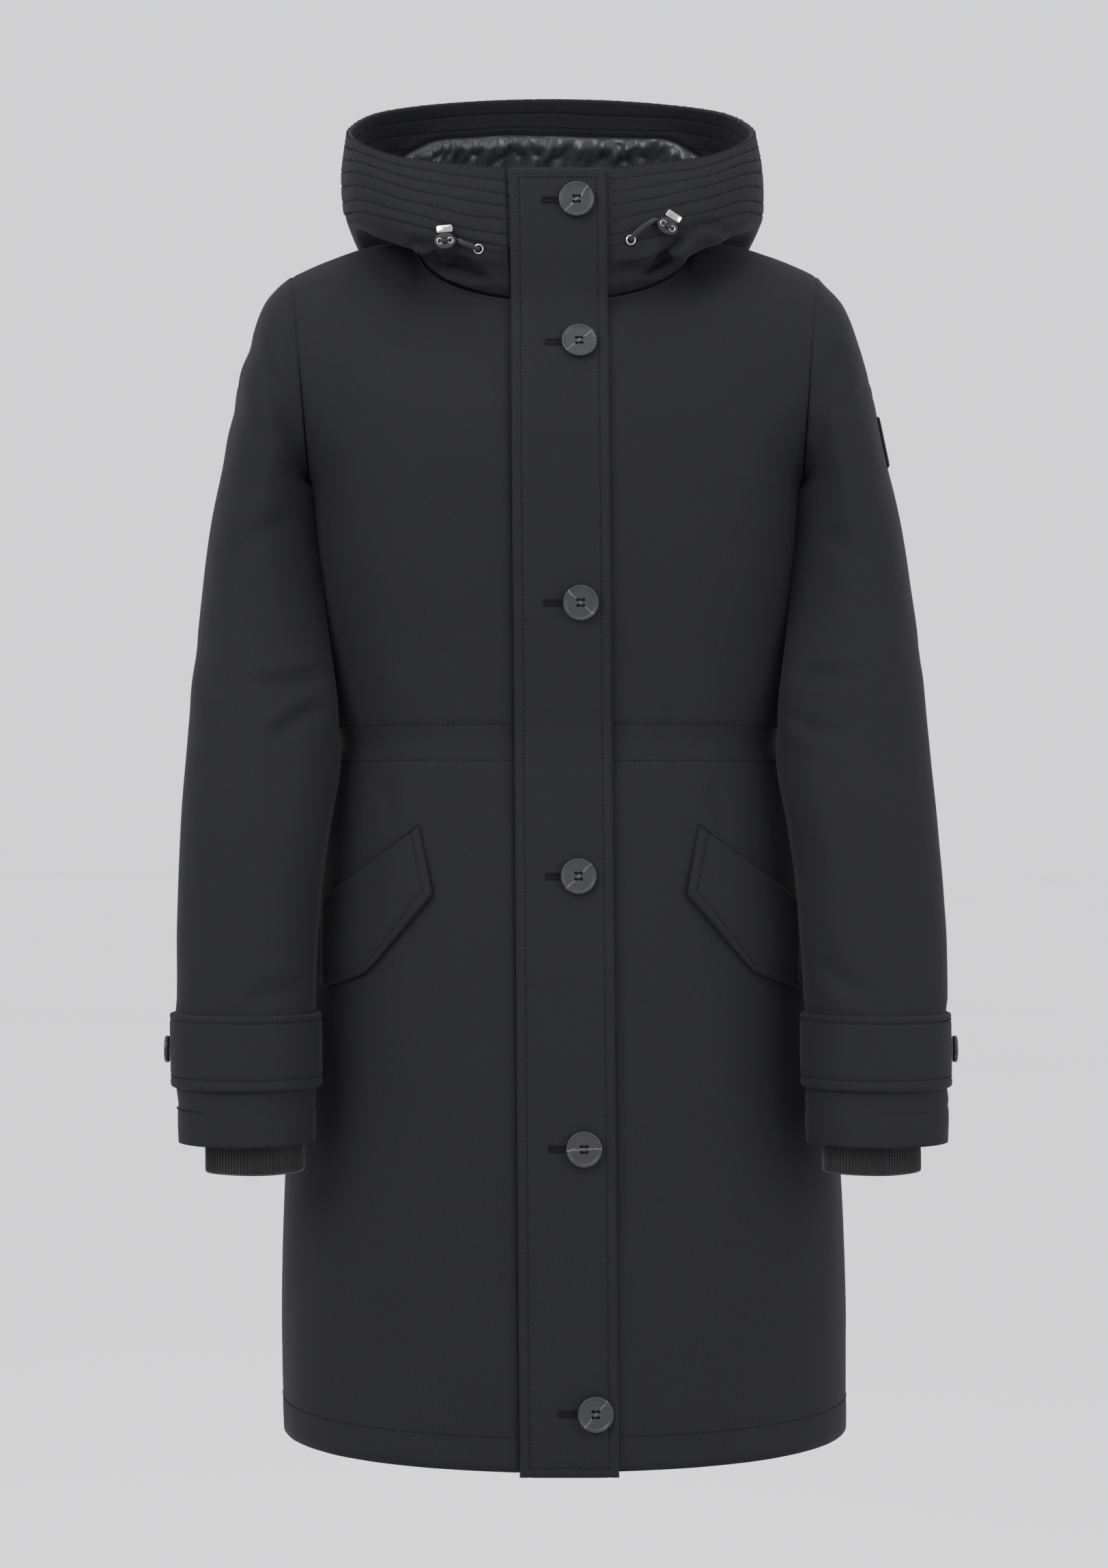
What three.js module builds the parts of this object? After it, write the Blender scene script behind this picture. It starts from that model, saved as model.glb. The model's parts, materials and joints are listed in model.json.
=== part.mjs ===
// A hooded parka in its worn shape, hollow, as an assembly of the pieces it is sewn from.
// Millimetres, +Z up, the front towards -Y, the wearer's left at +X.
// The origin is at the middle of the neck, at the height of the shoulders that carry it.
import * as THREE from 'three';
import { mergeVertices } from 'three/addons/utils/BufferGeometryUtils.js';

// Driving sizes
const CLOTH = 3.0;              // padded shell fabric of body and sleeves
const HOOD_CLOTH = 2.5;         // hood shell
const LINING_CLOTH = 1.0;       // thin hood lining
const SEAM_GAP = 0.3;           // between pieces at a seam
const LAY_GAP = 0.5;            // under a piece that lies on another
const NECK_HALF_WIDTH = 103;
const NECK_FRONT = 92;          // how far the neck seam reaches forward
const NECK_BACK = 74;
const NECK_SIDE_HEIGHT = 3;
const NECK_FRONT_DROP = 61;
const SHOULDER_TIP = { x: 196, z: -26 };
const SHOULDER_CURVE = 1.8;     // how late the shoulder line falls away
const UNDERARM_HEIGHT = -185;
const HEM_FRONT_DROP = 5;       // the hem is this much lower at the front than at the sides
const LEAN_BELOW = 0.0085;      // sideways shift for each millimetre below the neck
const LEAN_ABOVE = 0.03;        // and for each millimetre above it
const SECTION_POWER = 2.25;     // 2 is an ellipse, more is boxier

const PLACKET = { left: -31.4, right: 38, thick: 3.2, hang: 3 };
const UNDERLAP = -28;           // where the left front ends under the placket
const WAIST_CHANNEL = { top: -361, bottom: -387, puff: 1.6 };

const BAND_CHANNELS = 6;
const QUILT_HEIGHT = 1.6;
const QUILT_START = { from: 22, over: 10 };   // degrees: the quilting rises beside the placket

const BUTTON = { radius: 12.6, thick: 3.6, rim: 1.1, lip: 0.7 };
const CUFF_BUTTON = { radius: 9.5, thick: 3.0, rim: 0.9, lip: 0.6 };
const EYELET = { radius: 3.0, wire: 0.7, stand: 0.7 };
const CORD_RADIUS = 1.4;
const LOCK = { half_long: 7.8, half_short: 5.8, thick: 6.0 };
const PLATE = { long: 11.5, high: 5.2, thick: 1.2, forward: 0.6 };

const STRAP = { top: -566, bottom: -617, gap: 0.6, thick: 3.4 };
const RIB = { half_width: 34, half_depth: 32, bottom: -678, top: -604, count: 24, rise: 1.0, thick: 2.2,
  inset: 5, seam: 10, flare: 34, clear: 1.7 };
const PATCH = { high: 37, wide: 46, thick: 1.5, middle: -150, girth: 420 };   // girth of the sleeve there
const ARMHOLE_DIP = 5;          // the armhole curves this far toward the body

// Body sections: height, half width, depth to the front and to the back
const BODY = [
  { z: -880, half: 209, front: 150, back: 146 },
  { z: -800, half: 210, front: 149, back: 145 },
  { z: -700, half: 207, front: 147, back: 142 },
  { z: -600, half: 201, front: 143, back: 138 },
  { z: -500, half: 191, front: 136, back: 131 },
  { z: -430, half: 179, front: 127, back: 121 },
  { z: -389, half: 169, front: 118, back: 108 },
  { z: -374, half: 165, front: 115, back: 104 },
  { z: -358, half: 168, front: 116, back: 106 },
  { z: -300, half: 172, front: 121, back: 111 },
  { z: -245, half: 178, front: 125, back: 117 },
  { z: -185, half: 184, front: 127, back: 121 },
];

// Heights of the cross rows, from the hem to the underarm
const ROW_HEIGHTS = [-880, -835, -760, -680, -600, -530, -465, -420, -396, -387, -374, -361, -352, -300, -245, -185];

// Sleeve stations: x of the outer and inner edge, their heights, the middle's y and the half depth
const SLEEVE = [
  { outer: 196, inner: 184, z_outer: -26, z_inner: -185, y: 2, depth: 74 },
  { outer: 214, inner: 184.5, z_outer: -46, z_inner: -189, y: 2, depth: 76 },
  { outer: 226, inner: 184.7, z_outer: -78, z_inner: -194, y: 2, depth: 77 },
  { outer: 236, inner: 183.9, z_outer: -117, z_inner: -204, y: 1, depth: 76 },
  { outer: 246, inner: 182.2, z_outer: -165, z_inner: -222, y: 0, depth: 74 },
  { outer: 256, inner: 179.8, z_outer: -212, z_inner: -244, y: -5, depth: 71 },
  { outer: 262.5, inner: 175.4, z_outer: -262, z_inner: -278, y: -16, depth: 66 },
  { outer: 267, inner: 166.6, z_outer: -328, z_inner: -331, y: -44, depth: 60 },
  { outer: 269.5, inner: 158, z_outer: -385, z_inner: -385, y: -64, depth: 57 },
  { outer: 272, inner: 164.5, z_outer: -436, z_inner: -436, y: -84, depth: 54 },
  { outer: 274, inner: 171, z_outer: -494, z_inner: -494, y: -97, depth: 51 },
  { outer: 274, inner: 174, z_outer: -551, z_inner: -551, y: -106, depth: 49 },
  { outer: 273.5, inner: 174, z_outer: -610, z_inner: -610, y: -112, depth: 47 },
  { outer: 273, inner: 174, z_outer: -657, z_inner: -657, y: -116, depth: 46 },
];

// Hood rings from the neck to the rim, at key angles round the neck (0 front, 90 side, 180 back)
const HOOD_ANGLES = [17, 45, 70, 90, 120, 150, 180];
const HOOD = {
  tuck: [[31, -95, -48], [75, -73, -34], [100, -37, -11], [112, 2, 6.5], [98, 48, 5], [58, 80, 0], [0, 92, -5]],
  under: [[31, -97, -40], [78, -74, -25], [110, -41, -5], [129, 2, 5.5], [114, 66, -8], [70, 108, -50], [0, 122, -70]],
  lip: [[31.3, -99, -31], [86, -90, -25], [124, -55, -7], [146, 2, 5.5], [130, 92, -32], [84, 140, -112], [0, 146, -148]],
  belly: [[31.4, -100.5, -26], [91, -93, -15], [133, -58, 2], [153, 2, 13], [145, 96, 10], [96, 160, -40], [0, 174, -55]],
  band: [[31.5, -102, -21], [95, -92, -5], [137, -57, 12], [156, 2, 22], [141, 80, 50], [84, 120, 66], [0, 136, 70]],
  middle: [[31.5, -103, 8], [102, -84, 24], [142, -49, 42], [156, 3, 54], [138, 67, 80], [80, 105, 97], [0, 121, 101]],
  rim: [[31.5, -97, 37], [107, -70, 50], [142, -35, 69], [151, 4, 86], [131, 52, 109], [76, 91, 125], [0, 105, 131]],
};

// Buttons on the placket, from the top
const BUTTONS = [
  { x: 16.4, z: 12 }, { x: 17.1, z: -90 }, { x: 16.5, z: -276 },
  { x: 13.3, z: -469 }, { x: 15.4, z: -659 }, { x: 21.8, z: -843 },
];

// Corners of a pocket flap as x and z, for the wearer's left; it leans down to the side
const FLAP = {
  top_inner: [99, -434], top_outer: [171, -487],
  low_inner: [89, -482], point: [137, -539], low_outer: [171, -551],
  thick: 3, lift: 1.8, seat: 0.9, taper: 0.7,
};

// Drawcord ends as x, z and how far they stand off the hood, from the eyelet to the lock
const CORD_RIGHT = [[-53.8, -21.8, 0.5], [-55.5, -21.2, 2.8], [-60, -19.4, 3.6], [-64.5, -17.6, 3.6], [-68.5, -16.6, 3.2]];
const CORD_LEFT = [[54.7, -15.5, 0.5], [56.5, -14, 2.8], [61, -9, 4.2], [66, -5.4, 4.2], [72, -4.6, 3.4]];
const CORD_STEPS = 9;
const LOCK_RIGHT = { x: -77, z: -16.6, tilt: 4 };
const LOCK_LEFT = { x: 80.5, z: -6.5, tilt: -32 };
const LOCK_STAND = 1.5;
const COLOURS = {
  shell: 0x2b2c2f, lining: 0x34363a, knit: 0x1f2023, button: 0x26272a, cord: 0x1c1d1f, steel: 0xc9ccd0,
};

// Small helpers
const lerp = (a, b, t) => a + (b - a) * t;
const clamp01 = (t) => Math.min(1, Math.max(0, t));
const smooth = (t) => { const c = clamp01(t); return c * c * (3 - 2 * c); };
const lean = (z) => (z < 0 ? -z * LEAN_BELOW : -z * LEAN_ABOVE);
const leaned = (x, y, z) => new THREE.Vector3(x + lean(z), y, z);

// Smooth value through four equally spaced values, between the middle two
function throughFour(a, b, c, d, t) {
  return 0.5 * (2 * b + (c - a) * t + (2 * a - 5 * b + 4 * c - d) * t * t + (3 * b - a - 3 * c + d) * t * t * t);
}

// Value of a table's column at a height, straight between its rows
function atHeight(table, column, z) {
  const last = table.length - 1;
  if (z <= table[0].z) return table[0][column];
  if (z >= table[last].z) return table[last][column];
  const k = table.findIndex((row) => row.z > z) - 1;
  return lerp(table[k][column], table[k + 1][column], (z - table[k].z) / (table[k + 1].z - table[k].z));
}

// Value of a table's column at a place counted in rows
function atRow(table, column, place) {
  const k = Math.min(table.length - 2, Math.max(0, Math.floor(place)));
  const pick = (i) => table[Math.min(table.length - 1, Math.max(0, i))][column];
  return throughFour(pick(k - 1), pick(k), pick(k + 1), pick(k + 2), place - k);
}

// The armhole and every sleeve ring: turn 0 is the outside, 0.25 the front, 0.5 the inside, 0.75 the back
function sleevePoint(side, place, turn) {
  const angle = turn * 2 * Math.PI;
  const value = (column) => atRow(SLEEVE, column, place);
  const across = Math.cos(angle);
  const armhole_dip = ARMHOLE_DIP * Math.abs(Math.sin(angle)) * clamp01(1 - place);
  const x = lerp(value('inner'), value('outer'), (1 + across) / 2) - armhole_dip;
  const y = value('y') - value('depth') * Math.sin(angle);
  const z = lerp(value('z_inner'), value('z_outer'), (1 + across) / 2);
  return leaned(side * x, y, z);
}

// The neck seam at an angle from the front
function neckPoint(degrees) {
  const angle = THREE.MathUtils.degToRad(degrees);
  const cos = Math.cos(angle);
  const reach = cos > 0 ? -NECK_FRONT : NECK_BACK;
  const z = cos > 0 ? NECK_SIDE_HEIGHT - NECK_FRONT_DROP * cos ** 0.85 : lerp(NECK_SIDE_HEIGHT, 8, -cos);
  return leaned(NECK_HALF_WIDTH * Math.sin(angle), reach * Math.abs(cos) + 2 * (1 - Math.abs(cos)), z);
}

// The shoulder seam, from the neck (0) to the tip (1)
function shoulderPoint(side, t) {
  const x = lerp(NECK_HALF_WIDTH, SHOULDER_TIP.x, t);
  const z = lerp(NECK_SIDE_HEIGHT, SHOULDER_TIP.z, t ** SHOULDER_CURVE);
  return leaned(side * x, 2, z);
}

// A panel of the body as rows of points. facing is 'front' or 'back', side the sign of x,
// inner the x where it starts, neck_columns and shoulder_columns its divisions.
const ARMHOLE_ROWS = 8;
const SHOULDER_COLUMNS = 5;
function bodyRows(facing, side, inner, neck_columns) {
  const columns = neck_columns + SHOULDER_COLUMNS;
  const sign = facing === 'front' ? -1 : 1;
  const rows = [];
  const section = (half, depth, x0, turn_end, u) => {
    const ratio = Math.min(1, Math.abs(x0) / half);
    const start = Math.sign(x0) * Math.asin(ratio ** (SECTION_POWER / 2));
    const turn = lerp(start, turn_end, u);
    const x = half * Math.sign(Math.sin(turn)) * Math.abs(Math.sin(turn)) ** (2 / SECTION_POWER);
    const y = sign * depth * Math.abs(Math.cos(turn)) ** (2 / SECTION_POWER);
    return [x, y];
  };
  for (const z of ROW_HEIGHTS) {
    const half = atHeight(BODY, 'half', z);
    const depth = atHeight(BODY, facing, z);
    const in_channel = z < WAIST_CHANNEL.top && z > WAIST_CHANNEL.bottom ? WAIST_CHANNEL.puff : 0;
    const row = [];
    for (let c = 0; c <= columns; c += 1) {
      const [x, y] = section(half, depth + in_channel, inner, Math.PI / 2, c / columns);
      const hem_drop = facing === 'front' ? HEM_FRONT_DROP * smooth((-z - 700) / 180) * (1 - c / columns) : 0;
      row.push(leaned(side * x, y + 2 * Math.abs(x / half) ** 4, z - hem_drop));
    }
    rows.push(row);
  }
  const neck_start = facing === 'front' ? neckStart(inner) : 180;
  const top_inner = neckPoint(Math.abs(neck_start));
  for (let r = 1; r <= ARMHOLE_ROWS; r += 1) {
    const v = r / ARMHOLE_ROWS;
    const edge = sleevePoint(1, 0, facing === 'front' ? 0.5 * (1 - v) : 0.5 * (1 + v));
    const chest = atHeight(BODY, facing, UNDERARM_HEIGHT);
    const depth = lerp(chest, Math.abs(top_inner.y), v ** 1.7);
    const edge_depth = Math.max(0, sign * (edge.y - 2));
    const reach = Math.min(0.98, edge_depth / depth);
    const edge_x = edge.x - lean(edge.z);
    const half = edge_x / (1 - reach ** SECTION_POWER) ** (1 / SECTION_POWER);
    const turn_end = Math.acos(reach ** (SECTION_POWER / 2));
    const inner_z = lerp(UNDERARM_HEIGHT, top_inner.z, v);
    const row = [];
    for (let c = 0; c <= columns; c += 1) {
      const u = c / columns;
      const [x, y] = section(half, depth, inner, turn_end, u);
      const z = lerp(inner_z, edge.z, smooth(u));
      const plain = new THREE.Vector3(x, y + 2 * u ** 4, z);
      const [end_x, end_y] = section(SHOULDER_TIP.x, Math.abs(top_inner.y), inner, Math.PI / 2, u);
      const plain_top = new THREE.Vector3(end_x, end_y + 2 * u ** 4, lerp(top_inner.z, SHOULDER_TIP.z, smooth(u)));
      const top = topPoint(facing, inner, neck_columns, c);
      const lift = v ** 2.4;
      plain.addScaledVector(top.sub(plain_top), lift);
      row.push(leaned(side * plain.x, plain.y, plain.z));
    }
    rows.push(row);
  }
  return rows;
}

function neckStart(inner) {
  return THREE.MathUtils.radToDeg(Math.asin(inner / NECK_HALF_WIDTH));
}

// The top edge of a panel without the lean: neckline first, then the shoulder seam
function topPoint(facing, inner, neck_columns, c) {
  let point;
  if (c <= neck_columns) {
    const start = facing === 'front' ? neckStart(inner) : 180;
    const degrees = lerp(start, 90, c / neck_columns);
    point = neckPoint(Math.abs(degrees));
    if (degrees < 0) point.x = -(point.x - lean(point.z)) + lean(point.z);
  } else {
    point = shoulderPoint(1, (c - neck_columns) / SHOULDER_COLUMNS);
  }
  point.x -= lean(point.z);
  return point;
}

// Outward normals of grids that share their seam points
function sharedNormals(grids) {
  const key = (p) => `${p.x.toFixed(2)},${p.y.toFixed(2)},${p.z.toFixed(2)}`;
  const sums = new Map();
  const add = (p, n) => {
    const k = key(p);
    if (!sums.has(k)) sums.set(k, new THREE.Vector3());
    sums.get(k).add(n);
  };
  for (const { rows, closed } of grids) {
    for (let r = 0; r < rows.length - 1; r += 1) {
      const width = rows[r].length;
      for (let c = 0; c < width - (closed ? 0 : 1); c += 1) {
        const d = (c + 1) % width;
        const [a, b, e, f] = [rows[r][c], rows[r][d], rows[r + 1][d], rows[r + 1][c]];
        const n = new THREE.Vector3().subVectors(e, a).cross(new THREE.Vector3().subVectors(f, b));
        [a, b, e, f].forEach((p) => add(p, n));
      }
    }
  }
  return (p) => sums.get(key(p)).clone().normalize();
}

// A closed wall from two matching layers of points; rows may close round on themselves
function wall(outer, inner, closed) {
  const rows = outer.length;
  const width = outer[0].length;
  const positions = [...outer, ...inner].flat().flatMap((p) => [p.x, p.y, p.z]);
  const at = (layer, r, c) => (layer * rows + r) * width + (c % width);
  const index = [];
  const quad = (a, b, c, d) => index.push(a, b, c, a, c, d);
  const columns = closed ? width : width - 1;
  for (let r = 0; r < rows - 1; r += 1) {
    for (let c = 0; c < columns; c += 1) {
      quad(at(0, r, c), at(0, r, c + 1), at(0, r + 1, c + 1), at(0, r + 1, c));
      quad(at(1, r, c), at(1, r + 1, c), at(1, r + 1, c + 1), at(1, r, c + 1));
    }
  }
  for (let c = 0; c < columns; c += 1) {
    quad(at(0, 0, c + 1), at(0, 0, c), at(1, 0, c), at(1, 0, c + 1));
    quad(at(0, rows - 1, c), at(0, rows - 1, c + 1), at(1, rows - 1, c + 1), at(1, rows - 1, c));
  }
  if (!closed) {
    for (let r = 0; r < rows - 1; r += 1) {
      quad(at(0, r, 0), at(0, r + 1, 0), at(1, r + 1, 0), at(1, r, 0));
      quad(at(0, r + 1, width - 1), at(0, r, width - 1), at(1, r, width - 1), at(1, r + 1, width - 1));
    }
  }
  const geometry = new THREE.BufferGeometry();
  geometry.setAttribute('position', new THREE.Float32BufferAttribute(positions, 3));
  geometry.setIndex(index);
  return mergeVertices(geometry, 1e-4);
}

// Rows whose edge points are drawn in a little, so that seams keep their gap
const SLEEVE_HEAD_PULL = 3.5;   // the sleeve's first ring stays this much further from the armhole
function drawnIn(rows, closed, ends) {
  const half = SEAM_GAP / 2 + 0.05;
  const pull = (p, q, far = 1) => p.clone().add(new THREE.Vector3().subVectors(q, p).setLength(far * half));
  const out = rows.map((row) => row.map((p) => p.clone()));
  const last = rows.length - 1;
  if (ends.first) rows[0].forEach((p, c) => { out[0][c] = pull(p, rows[1][c], SLEEVE_HEAD_PULL); });
  if (ends.last) rows[last].forEach((p, c) => { out[last][c] = pull(p, rows[last - 1][c]); });
  if (!closed) {
    out.forEach((row, r) => {
      const w = row.length - 1;
      if (ends.left) out[r][0] = pull(out[r][0], rows[r][1]);
      if (ends.right) out[r][w] = pull(out[r][w], rows[r][w - 1]);
    });
  }
  return out;
}

// The inner layer of a panel, a cloth's thickness inside its outer points
function offsetRows(rows, normals, distance) {
  return rows.map((row, r) => row.map((p, c) => p.clone().addScaledVector(normals[r][c], distance)));
}

const parka = new THREE.Group();
parka.name = 'parka';
function addPiece(name, geometry, colour, roughness = 0.85, metalness = 0) {
  geometry.computeVertexNormals();
  const material = new THREE.MeshStandardMaterial({ color: colour, roughness, metalness });
  const mesh = new THREE.Mesh(geometry, material);
  mesh.name = name;
  parka.add(mesh);
  return mesh;
}

// Body panels. Rows run up, and columns run so that the faces look outwards.
const NECK_COLUMNS = { right: 5, left: 7, back: 6 };
const mirrored = (rows) => rows.map((row) => [...row].reverse());
const left_rows = bodyRows('front', 1, UNDERLAP, NECK_COLUMNS.left);
const right_rows = mirrored(bodyRows('front', -1, -PLACKET.left, NECK_COLUMNS.right));
const back_left = bodyRows('back', 1, 0, NECK_COLUMNS.back);
const back_right = bodyRows('back', -1, 0, NECK_COLUMNS.back);
const back_rows = back_left.map((row, r) => [...mirrored([row])[0], ...back_right[r].slice(1)]);

// Sleeves: rings of points from the armhole to the hem
const SLEEVE_PLACES = [0, 0.35, 0.8, 1.4, 2.1, 2.9, 3.7, 4.5, 5.3, 6.1, 6.8, 7.5, 8.2, 9, 9.8, 10.6, 11.6, 12.4, 13];
function sleeveRows(side) {
  return SLEEVE_PLACES.map((place) => {
    const ring = [];
    for (let k = 0; k < 2 * ARMHOLE_ROWS; k += 1) ring.push(sleevePoint(side, place, k / (2 * ARMHOLE_ROWS)));
    return side < 0 ? ring.reverse() : ring;
  });
}
const sleeve_left = sleeveRows(1);
const sleeve_right = sleeveRows(-1);

const coat_grids = [
  { rows: left_rows }, { rows: right_rows }, { rows: back_rows },
  { rows: sleeve_left, closed: true }, { rows: sleeve_right, closed: true },
];
const plainNormal = sharedNormals(coat_grids);

// Under the arm two panels meet in a sharp fold, where the seam faces down
const FOLD_REACH = 60;
const FOLD_START = 1.35;
const UNDERARMS = [1, -1].map((side) => sleevePoint(side, 0, 0.5));
const on_armhole = new Set([...sleeve_left[0], ...sleeve_right[0]].map((p) => p.toArray().map((v) => v.toFixed(2)).join()));
function coatNormal(p) {
  const normal = plainNormal(p);
  if (!on_armhole.has(p.toArray().map((v) => v.toFixed(2)).join())) return normal;
  const near = Math.min(...UNDERARMS.map((q) => q.distanceTo(p)));
  return normal.lerp(new THREE.Vector3(0, 0, -1), smooth(FOLD_START - near / FOLD_REACH)).normalize();
}
const normalRows = (rows) => rows.map((row) => row.map((p) => coatNormal(p)));

function addPanel(name, rows, closed, ends) {
  const normals = normalRows(rows);
  const inner = offsetRows(rows, normals, -CLOTH);
  addPiece(name, wall(drawnIn(rows, closed, ends), drawnIn(inner, closed, ends), closed), COLOURS.shell);
}
addPanel('front_right', right_rows, false, { last: true, left: true });
addPanel('front_left', left_rows, false, { last: true, right: true });
addPanel('back', back_rows, false, { last: true, left: true, right: true });
addPanel('sleeve_right', sleeve_right, true, { first: true });
addPanel('sleeve_left', sleeve_left, true, { first: true });


// The hood: a ring of points for a place w counted in rings from the neck (0) to the rim (7)
const HOOD_RINGS = ['tuck', 'under', 'lip', 'belly', 'band', 'middle', 'rim'];
const neck_edges = [left_rows.at(-1), right_rows.at(-1), back_rows.at(-1)];
function ringKey(name, degrees) {
  const turn = Math.abs(degrees);
  const k = Math.min(HOOD_ANGLES.length - 2, Math.max(0, HOOD_ANGLES.findLastIndex((a) => a <= turn)));
  const t = clamp01((turn - HOOD_ANGLES[k]) / (HOOD_ANGLES[k + 1] - HOOD_ANGLES[k]));
  const row = (i) => {
    if (i < 0) return [-HOOD[name][1][0] * 0.1, HOOD[name][0][1], HOOD[name][0][2]];
    if (i >= HOOD_ANGLES.length) return [-HOOD[name][HOOD_ANGLES.length - 2][0], ...HOOD[name][HOOD_ANGLES.length - 2].slice(1)];
    return HOOD[name][i];
  };
  const point = [0, 1, 2].map((axis) => throughFour(row(k - 1)[axis], row(k)[axis], row(k + 1)[axis], row(k + 2)[axis], t));
  if (turn < HOOD_ANGLES[0]) point[0] = HOOD[name][0][0] * (degrees / HOOD_ANGLES[0]);
  else point[0] *= Math.sign(degrees);
  return point;
}

const HOOD_SEAT = { out: 0.4, rise: 0.9, side_rise: 1.9 };
// The hood stands just above the neck edge of the coat, straight between that edge's points
function neckEdge(degrees) {
  const turn = Math.abs(degrees);
  const columns = turn > 90 ? NECK_COLUMNS.back : degrees > -20 && degrees < 90 && degrees > 0 ? NECK_COLUMNS.left : NECK_COLUMNS.right;
  const start = turn > 90 ? 180 : degrees < -17 ? neckStart(-PLACKET.left) : neckStart(UNDERLAP);
  const place = clamp01((start - (turn > 90 || degrees < -17 ? turn : degrees)) / (start - 90)) * columns;
  const k = Math.min(columns - 1, Math.floor(place));
  const at = (i) => {
    const angle = lerp(start, 90, i / columns);
    const p = neckPoint(Math.abs(angle));
    return new THREE.Vector3(Math.sign(angle) * (p.x - lean(p.z)), p.y, p.z);
  };
  const p = at(k).lerp(at(k + 1), place - k);
  const flip = degrees < -17 || (turn > 90 && degrees < 0) ? -1 : 1;
  const side_on = Math.sin(THREE.MathUtils.degToRad(turn)) ** 2;
  return [flip * p.x, p.y - HOOD_SEAT.out * Math.cos(THREE.MathUtils.degToRad(turn)), p.z + HOOD_SEAT.rise + HOOD_SEAT.side_rise * side_on];
}
function hoodPoint(degrees, place) {
  const k = Math.min(HOOD_RINGS.length - 1, Math.max(0, Math.floor(place)));
  const base = neckEdge(degrees);
  const ring = (i) => {
    if (i <= 0) return base;
    return ringKey(HOOD_RINGS[Math.min(HOOD_RINGS.length, i) - 1], degrees);
  };
  const [a, b, c, d] = [ring(k - 1), ring(k), ring(k + 1), ring(k + 2)];
  const before = k === 0 ? b.map((v, i) => 2 * v - c[i]) : a;
  const after = k + 2 > HOOD_RINGS.length ? c.map((v, i) => 2 * v - b[i]) : d;
  const at = [0, 1, 2].map((i) => throughFour(before[i], b[i], c[i], after[i], place - k));
  return leaned(...at);
}
const BAND_PLACE = 5;
const HOOD_COLUMNS = 32;
const SWEEP = { left: neckStart(UNDERLAP), right: 360 - neckStart(-PLACKET.left) };
const hoodTurn = (t) => lerp(SWEEP.left, SWEEP.right, t);
const signedTurn = (turn) => (turn > 180 ? turn - 360 : turn);
const hood_places = [0, 0.5, 1, 1.5, 2, 2.5, 3, 3.5, 4, 4.5];
for (let q = 0; q <= 2 * BAND_CHANNELS; q += 1) hood_places.push(BAND_PLACE + (2 * q) / (2 * BAND_CHANNELS));
function hoodRows(from, to) {
  return hood_places.filter((w) => w >= from && w <= to).map((w) => {
    const row = [];
    for (let c = 0; c <= HOOD_COLUMNS; c += 1) row.push(hoodPoint(signedTurn(hoodTurn(c / HOOD_COLUMNS)), w));
    return row;
  });
}
const hood_rows = hoodRows(0, 7);
const hoodNormal = sharedNormals([{ rows: hood_rows }]);
const hood_normals = hood_rows.map((row) => row.map((p) => hoodNormal(p)));
const hood_quilted = hood_rows.map((row, r) => row.map((p, c) => {
  const w = hood_places[r];
  const channel = w < BAND_PLACE ? 0 : Math.abs(Math.sin(Math.PI * BAND_CHANNELS * (w - BAND_PLACE) / 2));
  const turn = signedTurn(hoodTurn(c / HOOD_COLUMNS));
  const clear = c < HOOD_COLUMNS / 2 ? smooth((turn - QUILT_START.from) / QUILT_START.over) : 1;
  return p.clone().addScaledVector(hood_normals[r][c], QUILT_HEIGHT * channel * clear);
}));
const hood_inner = offsetRows(hood_rows, hood_normals, -HOOD_CLOTH);
addPiece('hood', wall(hood_quilted, hood_inner, false), COLOURS.shell);

// The lining lies inside the hood wall, from the belly of the hood to below the facing
const lining_outer = offsetRows(hood_rows, hood_normals, -HOOD_CLOTH - LAY_GAP);
const lining_inner = offsetRows(hood_rows, hood_normals, -HOOD_CLOTH - LAY_GAP - LINING_CLOTH);
const lining_rows = hood_places.map((w, r) => r).filter((r) => hood_places[r] >= 4 && hood_places[r] <= 6);
const pickRows = (rows) => lining_rows.map((r) => rows[r]);
addPiece('hood_lining', wall(pickRows(lining_outer), pickRows(lining_inner), false), COLOURS.lining, 0.4);

// Finds the outermost point of some grids as seen from the front
const AHEAD = -400;             // well in front of the coat
function onSurface(grids, x, z) {
  let best = null;
  const ray = new THREE.Ray(new THREE.Vector3(x, AHEAD, z), new THREE.Vector3(0, 1, 0));
  const hit = new THREE.Vector3();
  for (const rows of grids) {
    for (let r = 0; r < rows.length - 1; r += 1) {
      for (let c = 0; c < rows[r].length - 1; c += 1) {
        const [a, b, e, f] = [rows[r][c], rows[r][c + 1], rows[r + 1][c + 1], rows[r + 1][c]];
        for (const [p, q, s] of [[a, b, e], [a, e, f]]) {
          if (ray.intersectTriangle(p, q, s, false, hit) && (!best || hit.y < best.point.y)) {
            const normal = new THREE.Vector3().subVectors(q, p).cross(new THREE.Vector3().subVectors(s, p)).normalize();
            best = { point: hit.clone(), normal };
          }
        }
      }
    }
  }
  return best;
}

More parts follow.
